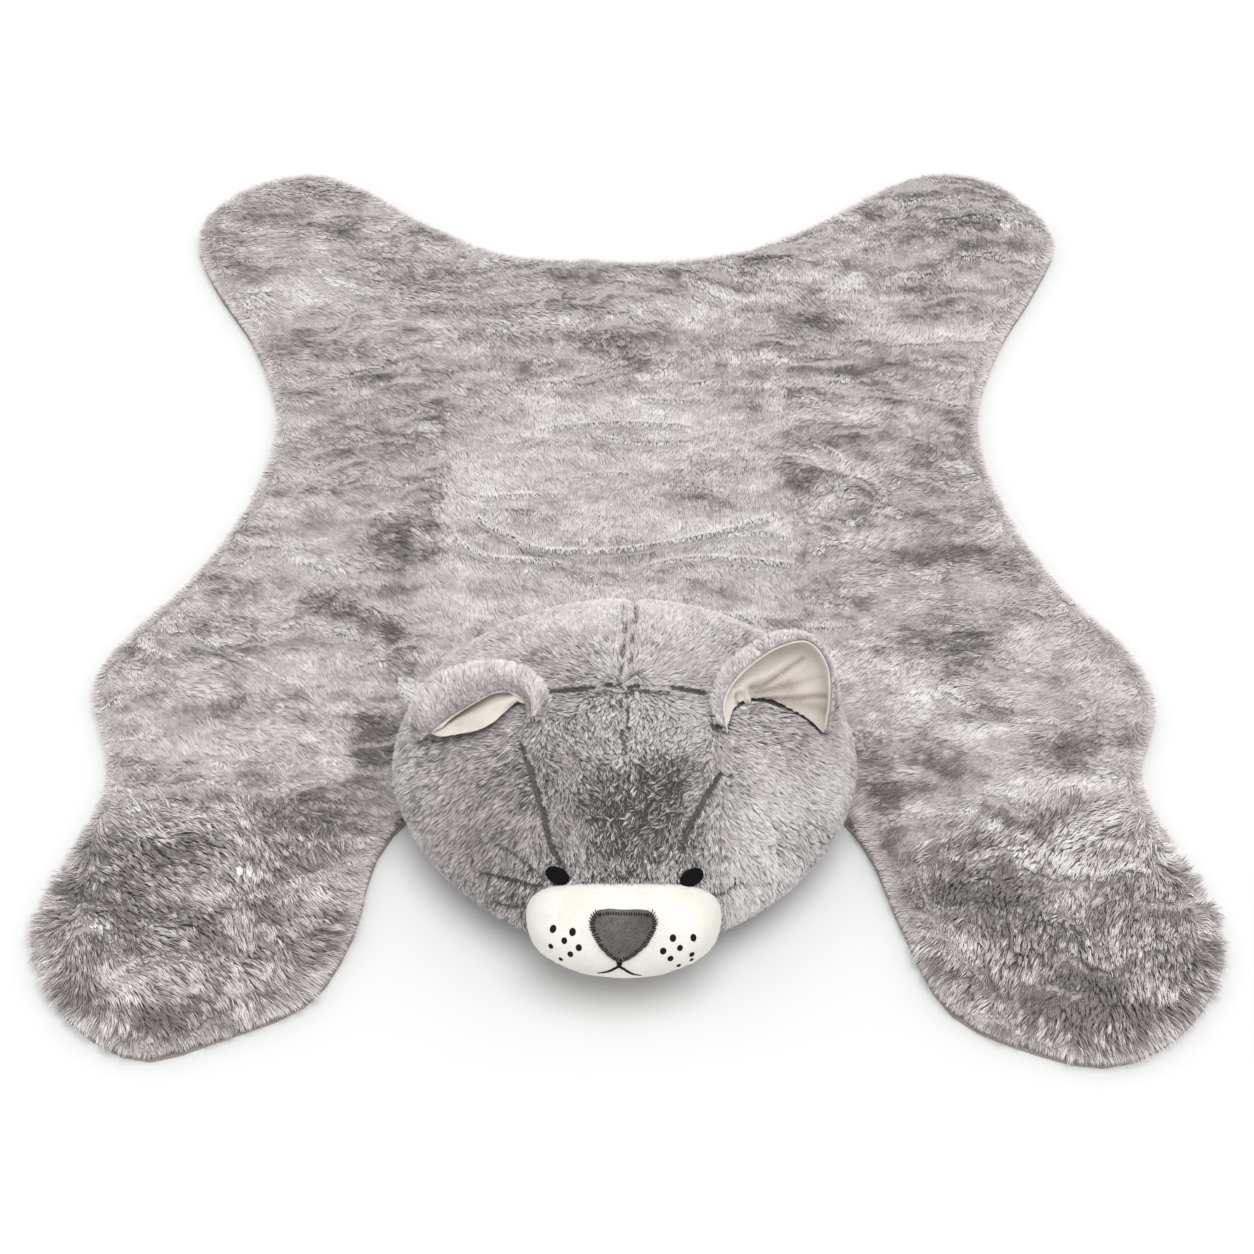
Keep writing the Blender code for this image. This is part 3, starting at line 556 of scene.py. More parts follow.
@dataclass
class Pile:
    """Pile that stands on a skin, as joined strands.

    Attributes:
        name: Of its pieces.
        style: Its make.
        seed: Of its random draws.
        border: Breadth of the gap round a cluster, as a share of the cluster's.
        uprightest: Smallest lean, in radians.
        flattest: Largest lean, in radians.
        shorter: Share of its length that a strand may lose.
        longer: Share of its length that a strand may gain.
        lowest: Height over the floor that tips keep, in metres.
        bow: How far a strand bows out, as a share of its length.
        taper: Width at a strand's bend, as a share of that at its root.
    """

    name: str
    style: PileStyle
    seed: int
    border: float = 0.45
    uprightest: float = 0.05
    flattest: float = math.radians(82.0)
    shorter: float = 0.22
    longer: float = 0.18
    lowest: float = 0.6 * MM
    bow: float = 0.16
    taper: float = 0.8

    def __post_init__(self) -> None:
        """Start the random draws."""
        self.rng = np.random.default_rng(self.seed)

    def gather(self, places: Numbers, breadth: float,
               each: float) -> tuple[Indices, Numbers, Numbers]:
        """Sort roots into clusters.

        Args:
            places: Of the roots.
            breadth: Of a cluster, in metres.
            each: Area of skin for one root.

        Returns:
            For each root the root in its cluster's middle, the cluster's own random
            share, and 0 at the cluster's border to 1 well inside it.
        """
        count = len(places)
        chosen = np.sort(self.rng.choice(
            count, max(int(count * each / breadth**2), 2), replace=False))
        tree = point_tree(places[chosen])
        found = [tree.find_n(place, 2) for place in places]
        which = np.array([pair[0][1] for pair in found])
        border = np.array([pair[1][2] - pair[0][2] for pair in found])
        inside = smoothstep(border / (self.border * breadth))
        return chosen[which], self.rng.random(len(chosen))[which], inside

    def shape(self, roots: Roots, strands: Strands, each: float) -> dict[str, Numbers]:
        """Work out where each strand runs and how light it is.

        Args:
            roots: Where the strands stand.
            strands: How each one grows.
            each: Area of skin for one root.

        Returns:
            Tips, sideways directions, bows and tones by name.
        """
        style, rng, count = self.style, self.rng, len(roots.places)
        normal, loose = roots.normals, strands.loose
        spread = math.radians(style.turn_spread) * (0.6 + 1.2 * loose)
        turns = rng.normal(0.0, 1.0, count) * spread
        flow = unit(strands.flow - normal * dot(strands.flow, normal))
        flow = swing(flow, np.cross(flow, normal), turns)
        across = np.cross(flow, normal)
        lean = math.radians(style.lean) + rng.normal(
            0.0, math.radians(style.lean_spread), count)
        lean = np.clip(lean * (1.0 - strands.upright), self.uprightest, self.flattest)[:, None]
        heading = flow * np.sin(lean) + normal * np.cos(lean)
        uneven = 0.25 + 0.75 * np.minimum(2.0 * loose, 1.0)
        change = rng.uniform(-self.shorter, self.longer, count) * uneven
        length = (strands.length * (1.0 + change))[:, None]
        tip = roots.places + heading * length
        tone = strands.tone + rng.uniform(-1.0, 1.0, count) * style.own_tone * (0.5 + loose)
        swirl = np.zeros((count, 1))
        for cluster in style.clusters:
            middle, own, inside = self.gather(roots.places, cluster.breadth, each)
            share = cluster.pull * (0.35 + 1.4 * loose)[:, None]
            shared = roots.places[middle] + heading[middle] * strands.length[middle, None]
            tip += (shared - tip) * share
            tone += (own - 0.5) * cluster.tone * (0.6 + 0.8 * loose)
            # Painted shade: strands are darker at a cluster's border, between the locks.
            tone -= cluster.gap * (1.0 - inside) * (0.4 + 0.9 * loose)
            swirl += ((own - 0.5) * 2.0 * style.curl * (0.5 + loose))[:, None]
        tip += across * swirl * length
        tip[:, 2] = np.maximum(tip[:, 2], self.lowest)
        heading = unit(tip - roots.places)
        roll = rng.normal(0.0, math.radians(style.roll_spread), count)
        side = unit(np.cross(heading, normal))
        side = swing(side, np.cross(heading, side), roll)
        bow = normal * np.linalg.norm(tip - roots.places, axis=1, keepdims=True) * self.bow
        bow -= across * swirl * length * 0.45
        return {"tip": tip, "side": side, "heading": heading, "bow": bow,
                "tone": np.clip(tone, 0.02, 0.98)}

    def grow(self, roots: Roots, strands: Strands, each: float,
             finish: Material) -> list[Thing]:
        """Grow the strands as meshes.

        Args:
            roots: Where they stand.
            strands: How each one grows.
            each: Area of skin for one root.
            finish: The pile's material.

        Returns:
            The pile's pieces, none of them over the limit of triangles.
        """
        style, start, cut = self.style, roots.places, STRAND_CUTS[self.style.strand]
        made = self.shape(roots, strands, each)
        tip, tone = made["tip"], made["tone"]
        half = made["side"] * style.width / 2.0
        shade = unit(roots.normals * 0.5 + np.cross(made["side"], made["heading"]) * 0.5)
        left = unit(shade - made["side"] * style.roundness)
        right = unit(shade + made["side"] * style.roundness)
        points, shades = [start - half, start + half], [left, right]
        if style.strand is Strand.BENT:
            middle = start + (tip - start) * BEND + made["bow"]
            points += [middle - half * self.taper, middle + half * self.taper]
            shades += [left, right]
        points, shades = np.stack([*points, tip], axis=1), np.stack([*shades, shade], axis=1)
        tones = tone[:, None] + np.array(cut.tone)
        bake = np.stack([tones, np.broadcast_to(cut.along, tones.shape)], axis=2)
        parts = math.ceil(len(start) * len(cut.faces) / TRIANGLES_A_PIECE)
        order = np.argsort(start[:, 1], kind="stable")
        pieces = []
        for number, chosen in enumerate(np.array_split(order, parts)):
            name = self.name if parts == 1 else f"{self.name}_{number + 1}"
            piece = strand_mesh(name, points[chosen], shades[chosen], bake[chosen],
                                np.array(cut.faces))
            finish_with(piece, finish)
            pieces.append(piece)
        return pieces


def strand_mesh(name: str, points: Numbers, shades: Numbers, bake: Numbers,
                faces: Indices) -> Thing:
    """One mesh of many strands.

    Args:
        name: Of the object.
        points: Places by strand and point.
        shades: Shading normals by strand and point.
        bake: Map places by strand and point.
        faces: The triangles of one strand.

    Returns:
        The object.
    """
    count, each = points.shape[:2]
    corners = (np.arange(count)[:, None, None] * each + faces[None]).reshape(-1)
    mesh = bpy.data.meshes.new(name)
    mesh.vertices.add(count * each)
    mesh.vertices.foreach_set("co", points.astype(np.float32).ravel())
    mesh.loops.add(len(corners))
    mesh.loops.foreach_set("vertex_index", corners.astype(np.int32))
    mesh.polygons.add(len(corners) // 3)
    mesh.polygons.foreach_set("loop_start", np.arange(0, len(corners), 3, dtype=np.int32))
    mesh.polygons.foreach_set("use_smooth", np.ones(len(corners) // 3, bool))
    layer = mesh.uv_layers.new(name=BAKE_MAP)
    layer.data.foreach_set("uv", bake.reshape(-1, 2)[corners].astype(np.float32).ravel())
    mesh.update(calc_edges=True)
    mesh.normals_split_custom_set_from_vertices(shades.reshape(-1, 3).astype(np.float32))
    return placed(name, mesh)


# ---- finishes ----

# How much a plain surface mirrors, and the bands that a wave of scale 1 has a metre.
PLAIN_GLOSS = 0.5
WAVE_SCALE = 3.183
# The colour sockets of a mix node: both inputs, and the output.
MIX_FIRST, MIX_SECOND, MIX_RESULT = 6, 7, 2


class Graph:
    """A material's nodes, and the links between them."""

    def __init__(self, name: str, roughness: float) -> None:
        """Start a material with its main shader.

        Args:
            name: Of the material.
            roughness: Of its surface, from 0 to 1.
        """
        self.material = bpy.data.materials.new(name)
        self.material.use_nodes = True
        self.tree = self.material.node_tree
        self.shader = self.tree.nodes["Principled BSDF"]
        self.shader.inputs["Roughness"].default_value = roughness

    def node(self, kind: str, **values: object) -> bpy.types.Node:
        """Add a node.

        Args:
            kind: Its type.
            values: A value named like a socket goes there, and any other is a setting.

        Returns:
            The node.
        """
        made = self.tree.nodes.new(kind)
        for name, value in values.items():
            socket = made.inputs.get(name.replace("_", " ").title())
            if socket is not None:
                socket.default_value = value
            else:
                setattr(made, name, value)
        return made

    def link(self, start: bpy.types.NodeSocket, end: bpy.types.NodeSocket) -> None:
        """Join two sockets."""
        self.tree.links.new(start, end)

    def ramp(self, value: bpy.types.NodeSocket,
             *stops: tuple[float, Colour]) -> bpy.types.NodeSocket:
        """Colour a value by a ramp.

        Args:
            value: What is coloured.
            stops: Places from 0 to 1 with their colours.

        Returns:
            The colour.
        """
        made = self.node("ShaderNodeValToRGB")
        elements = made.color_ramp.elements
        while len(elements) > 1:
            elements.remove(elements[-1])
        elements[0].position, elements[0].color = stops[0][0], (*stops[0][1], 1.0)
        for position, colour in stops[1:]:
            elements.new(position).color = (*colour, 1.0)
        self.link(value, made.inputs["Fac"])
        return made.outputs["Color"]

    def noise(self, scale: float, detail: float) -> bpy.types.NodeSocket:
        """Noise over the object's own places.

        Args:
            scale: How many of its lumps a metre has.
            detail: How many finer layers it has.

        Returns:
            The noise's value.
        """
        places = self.node("ShaderNodeTexCoord")
        made = self.node("ShaderNodeTexNoise", scale=scale, detail=detail)
        self.link(places.outputs["Object"], made.inputs["Vector"])
        return made.outputs["Fac"]

    def bump(self, height: bpy.types.NodeSocket, depth: float, strength: float) -> None:
        """Raise the surface by a height.

        Args:
            height: From 0 to 1.
            depth: What a height of 1 raises, in metres.
            strength: How much of it shows.
        """
        made = self.node("ShaderNodeBump", strength=strength, distance=depth)
        self.link(height, made.inputs["Height"])
        self.link(made.outputs["Normal"], self.shader.inputs["Normal"])

    def product(self, first: bpy.types.NodeSocket,
                second: bpy.types.NodeSocket) -> bpy.types.NodeSocket:
        """Multiply two colours.

        Args:
            first: One colour.
            second: The other.

        Returns:
            Their product.
        """
        made = self.node("ShaderNodeMix", data_type="RGBA", blend_type="MULTIPLY")
        made.inputs["Factor"].default_value = 1.0
        self.link(first, made.inputs[MIX_FIRST])
        self.link(second, made.inputs[MIX_SECOND])
        return made.outputs[MIX_RESULT]

    def finish(self, colour: bpy.types.NodeSocket, gloss: float, sheen: float) -> Material:
        """Give the shader its colour and the way it shines.

        Args:
            colour: Of the surface.
            gloss: How much it mirrors.
            sheen: How much its nap glows at the edge.

        Returns:
            The material.
        """
        self.link(colour, self.shader.inputs["Base Color"])
        self.shader.inputs["Specular IOR Level"].default_value = gloss
        self.shader.inputs["Sheen Weight"].default_value = sheen
        return self.material


def grey(value: float) -> Colour:
    """A colour of three like parts."""
    return (value,) * 3


@dataclass(frozen=True)
class PileFinish:
    """Faux fur: a strand's colour by its tone, with painted shade towards its root.

    Attributes:
        name: Of the material.
        dark: Colour of the darkest strands.
        middle: Colour of the middle ones.
        light: Colour of the lightest ones.
        root_shade: What is left of the colour at the root.
        roughness: Of the strands.
        sheen: Of the strands.
        under_shade: How light the underfur is beside the root shade.
        under_light: How much lighter its light flecks are.
    """

    name: str
    dark: Colour
    middle: Colour
    light: Colour
    root_shade: float
    roughness: float = 0.75
    sheen: float = 0.25
    under_shade: float = 0.75
    under_light: float = 1.73

    def strands(self) -> Material:
        """Make the strands' material, from the map of tone and way along.

        Returns:
            The material.
        """
        graph = Graph(self.name, self.roughness)
        uv = graph.node("ShaderNodeUVMap", uv_map=BAKE_MAP)
        parts = graph.node("ShaderNodeSeparateXYZ")
        graph.link(uv.outputs["UV"], parts.inputs["Vector"])
        tone = graph.ramp(parts.outputs["X"], (0.05, self.dark), (0.5, self.middle),
                          (0.95, self.light))
        # Painted shade: each strand darker towards its root, deep in the pile.
        along = graph.ramp(parts.outputs["Y"], (0.0, grey(self.root_shade)),
                           (0.45, grey(0.85)), (1.0, grey(1.0)))
        return graph.finish(graph.product(tone, along), 0.2, self.sheen)

    def skin(self) -> Material:
        """Make the dense underfur showing between the strands, in painted root shade.

        Returns:
            The material.
        """
        graph = Graph(f"{self.name} underfur", 0.95)
        spread = graph.noise(420.0, 4.0)
        shade = self.root_shade * self.under_shade
        low = tuple(shade * value for value in self.middle)
        high = tuple(shade * self.under_light * value for value in self.middle)
        graph.bump(spread, 0.0015, 0.8)
        return graph.finish(graph.ramp(spread, (0.3, low), (0.7, high)), PLAIN_GLOSS, 0.0)


@dataclass(frozen=True)
class FleeceFinish:
    """Short soft cloth in two clouded colours. Its nap is given in tufts a metre and
    in metres deep, and its grain is what is left of the colour between the tufts."""

    name: str
    dark: Colour
    light: Colour
    nap: float
    depth: float
    grain: float = 0.86

    def build(self, shade: str = "") -> Material:
        """Make the material.

        Args:
            shade: Name of the mesh's own painted shade values that darken it, if it has any.

        Returns:
            The material.
        """
        graph = Graph(self.name, 0.85)
        clouds = graph.noise(28.0, 4.0)
        nap = graph.noise(self.nap, 3.0)
        colour = graph.product(
            graph.ramp(clouds, (0.35, self.dark), (0.65, self.light)),
            graph.ramp(nap, (0.3, grey(self.grain)), (0.6, grey(1.0))),
        )
        if shade:
            own = graph.node("ShaderNodeAttribute", attribute_name=shade)
            dim = graph.ramp(own.outputs["Fac"], (0.3, grey(1.0)), (0.5, (0.94, 0.93, 0.92)),
                             (0.9, (0.55, 0.51, 0.47)))
            colour = graph.product(colour, dim)
        graph.bump(nap, self.depth, 0.6)
        return graph.finish(colour, 0.2, 0.35)


@dataclass(frozen=True)
class WovenFinish:
    """Woven cloth or laid thread: light ribs on a dark ground, a pitch in metres
    apart, one way or crossed."""

    name: str
    dark: Colour
    light: Colour
    pitch: float
    crossed: bool
    roughness: float
    gloss: float = 0.25

    def build(self) -> Material:
        """Make the material.

        Returns:
            The material.
        """
        graph = Graph(self.name, self.roughness)
        places = graph.node("ShaderNodeTexCoord")
        scale = 1.0 / (self.pitch * WAVE_SCALE)
        ribs = []
        for direction in ("X", "Y") if self.crossed else ("X",):
            wave = graph.node("ShaderNodeTexWave", wave_type="BANDS",
                              bands_direction=direction, scale=scale, distortion=1.2)
            graph.link(places.outputs["Object"], wave.inputs["Vector"])
            ribs.append(wave.outputs["Color"])
        height = ribs[0] if len(ribs) == 1 else graph.product(*ribs)
        graph.bump(height, self.pitch * 0.4, 0.6)
        return graph.finish(graph.ramp(height, (0.1, self.dark), (0.8, self.light)),
                            self.gloss, 0.0)


GREY_PILE = PileFinish(
    "grey faux fur", (0.24, 0.21, 0.21), (0.70, 0.65, 0.645), (0.985, 0.955, 0.94), 0.52
)
# The head's underfur is painted darker still, as shade in the seams' bare lines and between the
# curls.
HEAD_FUR = PileFinish(
    "grey short plush", (0.085, 0.072, 0.072), (0.60, 0.555, 0.55), (0.95, 0.92, 0.905), 0.54,
    under_shade=0.24,
)
RIM_FUR = PileFinish(
    "pale rim fur", (0.36, 0.315, 0.31), (0.76, 0.70, 0.685), (0.98, 0.945, 0.93), 0.60
)
CREAM_FLEECE = FleeceFinish(
    "cream fleece", (0.71, 0.68, 0.625), (0.78, 0.755, 0.71), 900.0, 0.0006
)
LINING_FLEECE = FleeceFinish(
    "cream ear lining", (0.59, 0.55, 0.50), (0.68, 0.645, 0.59), 1100.0, 0.0004
)
NOSE_FELT = FleeceFinish(
    "grey felt", (0.085, 0.077, 0.073), (0.15, 0.137, 0.13), 700.0, 0.0009, 0.45
)
EYE_THREAD = WovenFinish("black eye thread", (0.001, 0.001, 0.001), (0.008, 0.008, 0.009),
                         0.0007, False, 0.8, 0.08)
SEWING_THREAD = WovenFinish("black sewing thread", (0.004, 0.004, 0.004), (0.02, 0.018, 0.017),
                            0.0005, False, 0.8, 0.08)
BACKING_CLOTH = WovenFinish("backing cloth", (0.30, 0.26, 0.235), (0.47, 0.42, 0.385),
                            0.0016, True, 0.9)

# ---- what the rug's pile does ----

# Strokes of the comb over the pelt: place, x and y in mm, bearing in degrees from
# the right hand side towards the rump, spread in mm.
COMB = (
    ("rump", -60, 420, -50, 110),
    ("rump right", 160, 410, -78, 90),
    ("back", 0, 200, -88, 140),
    ("belly", 0, 20, -84, 120),
    ("neck", 0, -160, -88, 90),
    ("left flank", -240, 140, -60, 110),
    ("right flank", 240, 140, -118, 100),
    ("left waist", -320, 20, -55, 80),
    ("right waist", 320, 20, -143, 80),
    ("left shoulder", -380, -160, -54, 100),
    ("right shoulder", 380, -160, -136, 100),
    ("left arm", -330, -290, -48, 80),
    ("right arm", 330, -290, -138, 80),
    ("left paw", -390, -420, -50, 80),
    ("right paw", 390, -420, -115, 80),
    ("left wrist", -300, -430, -62, 60),
    ("right wrist", 300, -430, -110, 60),
    ("left thigh", -340, 330, -45, 90),
    ("right thigh", 340, 330, -110, 90),
    ("left hind paw", -370, 470, -40, 80),
    ("right hind paw", 370, 470, -95, 80),
)
# The front paws' middles and their reach, and the smooth oblong in the pelt's middle:
# its sides in x and in y. All in mm.
FRONT_PAWS = ((-385, -450), (385, -450))
PAW_REACH = 95.0
OBLONG_ACROSS = (-186.0, 168.0)
OBLONG_ALONG = (-110.0, 270.0)

# Lighter and darker places of the pelt, partly the pile's own tone and partly painted light
# and shade of its lumps and ridges: name, x, y, half widths across and along in mm, turn in
# degrees, change of tone.
SHADES = (
    ("hind crown left", -333, 473, 33, 17, 0, -0.25),
    ("hind heel left", -419, 387, 22, 19, 0, -0.15),
    ("hind sole left", -347, 305, 30, 15, 10, -0.22),
    ("rump left", -220, 413, 22, 23, 0, -0.12),
    ("thigh left", -252, 233, 27, 13, 0, -0.20),
    ("waist streak left", -260, 147, 56, 16, 0, -0.30),
    ("waist left", -273, 84, 30, 11, 10, -0.24),
    ("belly left", -228, -1, 29, 33, 0, -0.38),
    ("belly streak left", -274, 19, 18, 11, 0, -0.15),
    ("armpit streak left", -271, -78, 53, 10, -18, -0.32),
    ("armpit left", -223, -122, 10, 35, 0, -0.38),
    ("shoulder edge left", -363, -122, 12, 15, 0, -0.15),
    ("back middle", -18, 290, 38, 14, -5, -0.26),
    ("back streak", 77, 272, 36, 9, -8, -0.12),
    ("rump middle", 36, 376, 22, 13, 0, -0.12),
    ("rump right", 120, 387, 22, 14, 0, -0.12),
    ("back right", 188, 333, 38, 14, 0, -0.26),
    ("thigh streak right", 239, 258, 65, 12, 0, -0.30),
    ("flank right", 122, 205, 23, 16, 0, -0.28),
    ("hind sole right", 321, 374, 27, 22, 0, -0.24),
    ("hind crown right", 373, 473, 29, 18, 0, -0.20),
    ("hind edge right", 426, 413, 13, 39, 0, -0.15),
    ("side upper right", 174, 101, 18, 21, 0, -0.28),
    ("side right", 228, 74, 20, 19, 0, -0.26),
    ("side streak right", 220, 150, 27, 10, 0, -0.16),
    ("waist right", 322, -7, 35, 17, 0, -0.30),
    ("shoulder right", 317, -115, 34, 20, -5, -0.34),
    ("shoulder streak right", 236, -72, 31, 10, 0, -0.22),
    ("belly middle", 67, 77, 28, 15, 0, -0.20),
    ("neck middle", 76, -53, 35, 12, 0, -0.22),
    ("neck right", 130, -20, 23, 14, 0, -0.14),
    ("neck left", -26, -28, 20, 14, 0, -0.12),
    ("wrist right", 421, -246, 42, 15, 10, -0.36),
    ("arm left", -229, -244, 18, 56, 0, -0.38),
    ("arm inner left", -277, -315, 38, 25, 0, -0.34),
    ("arm line left", -282, -364, 43, 9, 5, -0.30),
    ("paw top left", -401, -436, 23, 12, 0, -0.40),
    ("paw wrist left", -405, -371, 27, 10, 0, -0.20),
    ("paw curls left", -391, -527, 34, 12, 0, -0.40),
    ("paw toe left", -408, -494, 13, 10, 0, -0.28),
    ("paw side left", -257, -457, 16, 13, 0, -0.15),
    ("paw inner right", 294, -409, 46, 28, -10, -0.38),
    ("paw middle right", 351, -434, 26, 17, 0, -0.16),
    ("paw curls right", 396, -527, 36, 24, 5, -0.38),
    ("paw toe right", 306, -510, 11, 12, 0, -0.30),
    ("arm right", 237, -293, 18, 43, 0, -0.42),
    ("hind left", -354, 387, 52, 32, 25, 0.26),
    ("side left", -148, 87, 36, 28, 0, 0.16),
    ("back left", -90, 189, 27, 35, 0, 0.12),
    ("back crest", 39, 171, 25, 26, 0, 0.24),
    ("back crest left", -7, 195, 52, 18, 0, 0.10),
    ("belly right", 112, 31, 46, 12, 0, 0.28),
    ("back light right", 78, 352, 24, 29, 0, 0.12),
    ("thigh right", 209, 384, 43, 32, 0, 0.15),
    ("flank light right", 202, 200, 37, 13, 0, 0.16),
    ("thigh ridge right", 291, 318, 64, 11, 0, 0.14),
    ("shoulder ridge right", 247, -23, 59, 12, -15, 0.14),
    ("arm ridge right", 332, -218, 56, 11, -12, 0.26),
    ("arm ridge upper right", 293, -183, 37, 13, -10, 0.14),
    ("wrist ridge right", 324, -332, 32, 11, -30, 0.30),
    ("paw ridge right", 423, -378, 55, 12, -20, 0.30),
    ("nape", -7, -72, 145, 20, 0, 0.18),
    ("nape right", 191, -134, 19, 52, 0, 0.24),
    ("nape left", -213, -181, 39, 17, 18, 0.22),
    ("arm ridge left", -357, -310, 56, 14, -8, 0.14),
    ("arm light left", -309, -147, 21, 11, 0, 0.14),
    ("paw ridge left", -337, -343, 45, 10, -5, 0.15),
    ("paw corner left", -437, -519, 12, 20, 0, 0.22),
)

# The pressed folds: name, rise in mm, then x and y along the fold in mm.
FOLDS = (
    ("belly fold rear", 3.2, (-158, 45), (-115, 12), (-81, -2), (-17, -6), (32, 2), (92, 19),
     (147, 42)),
    ("belly fold left", 2.8, (-178, 16), (-144, -9), (-95, -17), (-60, -18)),
    ("belly fold right", 2.8, (31, -18), (91, -14), (166, -23)),
    ("belly roll right", 2.2, (72, 12), (119, 19), (167, 10)),
    ("side press left", 1.4, (-157, 68), (-127, 68), (-97, 69), (-50, 70)),
    ("back fold", 2.4, (-41, 153), (13, 140), (64, 143)),
    ("back crest", 2.2, (-90, 164), (-7, 169), (65, 166)),
    ("back tuft", 2.2, (9, 205), (42, 202), (75, 198)),
    ("middle fold", 1.2, (-67, 90), (-17, 98), (23, 92)),
    ("flank fold right", 2.4, (167, 157), (194, 139), (221, 117)),
    ("flank line left", 1.8, (-230, 126), (-200, 124), (-172, 126)),
    ("waist fold right", 1.6, (211, 227), (283, 212), (359, 189)),
    ("thigh fold left", 1.8, (-352, 237), (-289, 242), (-223, 266)),
    ("shoulder fold left", 1.8, (-441, -107), (-366, -141), (-297, -183)),
    ("shoulder fold right", 1.8, (283, -183), (346, -213), (410, -221)),
    ("paw fold left", 2.4, (-262, -372), (-340, -407), (-424, -438)),
    ("toe fold left", 2.2, (-440, -500), (-399, -478), (-352, -480)),
    ("paw fold right", 2.4, (258, -378), (272, -439), (312, -504)),
    ("toe fold right", 2.2, (372, -424), (400, -452), (425, -490)),
    ("flank ridge right", 2.4, (169, 209), (188, 202), (219, 198)),
    ("shoulder ridge right", 2.2, (186, 41), (208, 35), (231, 25)),
    ("below the roll", 1.4, (104, -30), (135, -26), (165, -20)),
    ("crest left", 2.0, (-70, 226), (-49, 224), (-23, 230)),
    ("tuft right", 2.2, (64, 224), (76, 227), (97, 230)),
    ("hollow", 2.2, (28, 83), (48, 77), (63, 76), (93, 73)),
    ("pit", 2.0, (11, 64), (21, 58), (30, 61)),
)
# How far from a fold's line it is felt, where its ridge with painted highlight and its groove
# with painted shade lie beside the line and how broad they are, in mm; and how far a strand
# runs free of it.
FOLD_REACH = 16.0
RIDGE_PLACE, RIDGE_BREADTH = 4.5, 3.2
GROOVE_PLACE, GROOVE_BREADTH = -1.2, 1.4
FREE_RUN = 20.0 * MM

BODY_PILE = PileStyle(
    length=11.5 * MM, width=0.95 * MM, lean=78.0, lean_spread=4.5, turn_spread=9.0,
    curl=0.05, strand=Strand.STRAIGHT,
    clusters=(Cluster(4.2 * MM, 0.30, 0.20, 0.05), Cluster(12.0 * MM, 0.12, 0.22, 0.10)),
)
PAW_PILE = PileStyle(
    length=18.5 * MM, width=1.0 * MM, lean=73.0, lean_spread=6.0, turn_spread=7.0,
    curl=0.06, strand=Strand.BENT, own_tone=0.22,
    clusters=(Cluster(5.5 * MM, 0.44, 0.34, 0.22), Cluster(15.0 * MM, 0.14, 0.24, 0.16)),
)
RIM_PILE = PileStyle(
    length=7.5 * MM, width=0.85 * MM, lean=64.0, lean_spread=5.0, turn_spread=9.0,
    curl=0.05, strand=Strand.STRAIGHT,
    clusters=(Cluster(4.0 * MM, 0.25, 0.16, 0.04),),
)


class Assembly(ABC):
    """A sub-assembly of the rug."""

    name: str

    @abstractmethod
    def build(self) -> list[Thing]:
        """Build and dress it.

        Returns:
            The pieces.
        """

    def ride(self, piece: Thing, slot: str) -> None:
        """Give a finished piece its body."""
        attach(piece, BODY)


@dataclass
class PlanMap:
    """Values over the rug's plan on an even grid, read off between its points.

    Attributes:
        pitch: From one point to the next, in metres.
        half: How many points lie on either side of the middle.
    """

    pitch: float = 2.0 * MM
    half: int = 300

    def __post_init__(self) -> None:
        """Lay the grid out."""
        line = np.arange(-self.half, self.half + 1) * self.pitch
        x, y = np.meshgrid(line, line, indexing="ij")
        self.points = np.column_stack([x.ravel(), y.ravel(), np.zeros(x.size)])

    def square(self, values: Numbers) -> Numbers:
        """The values by row, column and part."""
        side = 2 * self.half + 1
        return values.reshape(side, side, -1)

    def slope(self, values: Numbers) -> Numbers:
        """How much the values rise across and along, in each point."""
        across, along = np.gradient(self.square(values)[:, :, 0], self.pitch)
        return np.column_stack([across.ravel(), along.ravel()])

    def read(self, values: Numbers, places: Numbers) -> Numbers:
        """The values at some places.

        Args:
            values: One row for each point of the grid.
            places: Where they are read, in metres.

        Returns:
            One row for each place, or one number where the values are numbers.
        """
        square = self.square(values)
        at = places[:, :2] / self.pitch + self.half
        base = np.clip(np.floor(at).astype(int), 0, 2 * self.half - 1)
        (i, j), (s, t) = base.T, (at - base).T[:, :, None]
        near = square[i, j] * (1.0 - s) + square[i + 1, j] * s
        far = square[i, j + 1] * (1.0 - s) + square[i + 1, j + 1] * s
        found = near * (1.0 - t) + far * t
        return found[:, 0] if values.ndim == 1 else found


@dataclass
class Survey:
    """What the pelt does at each place.

    Attributes:
        away: How far the rim is, in mm.
        outward: The way out, in plan.
        paw: How much the place is a front paw.
        parted: How much the pile parts there.
        loose: How tousled the pile is.
        tone: Of the pile, with painted light and shade of its waves and folds.
        flow: The pile's way, in plan.
        run: How far a strand may run before a fold ends it, in metres.
        rise: Of the pile's waves, in metres.
        slope: How much they rise across and along.
    """

    away: Numbers
    outward: Numbers
    paw: Numbers
    parted: Numbers
    loose: Numbers
    tone: Numbers
    flow: Numbers
    run: Numbers
    rise: Numbers
    slope: Numbers


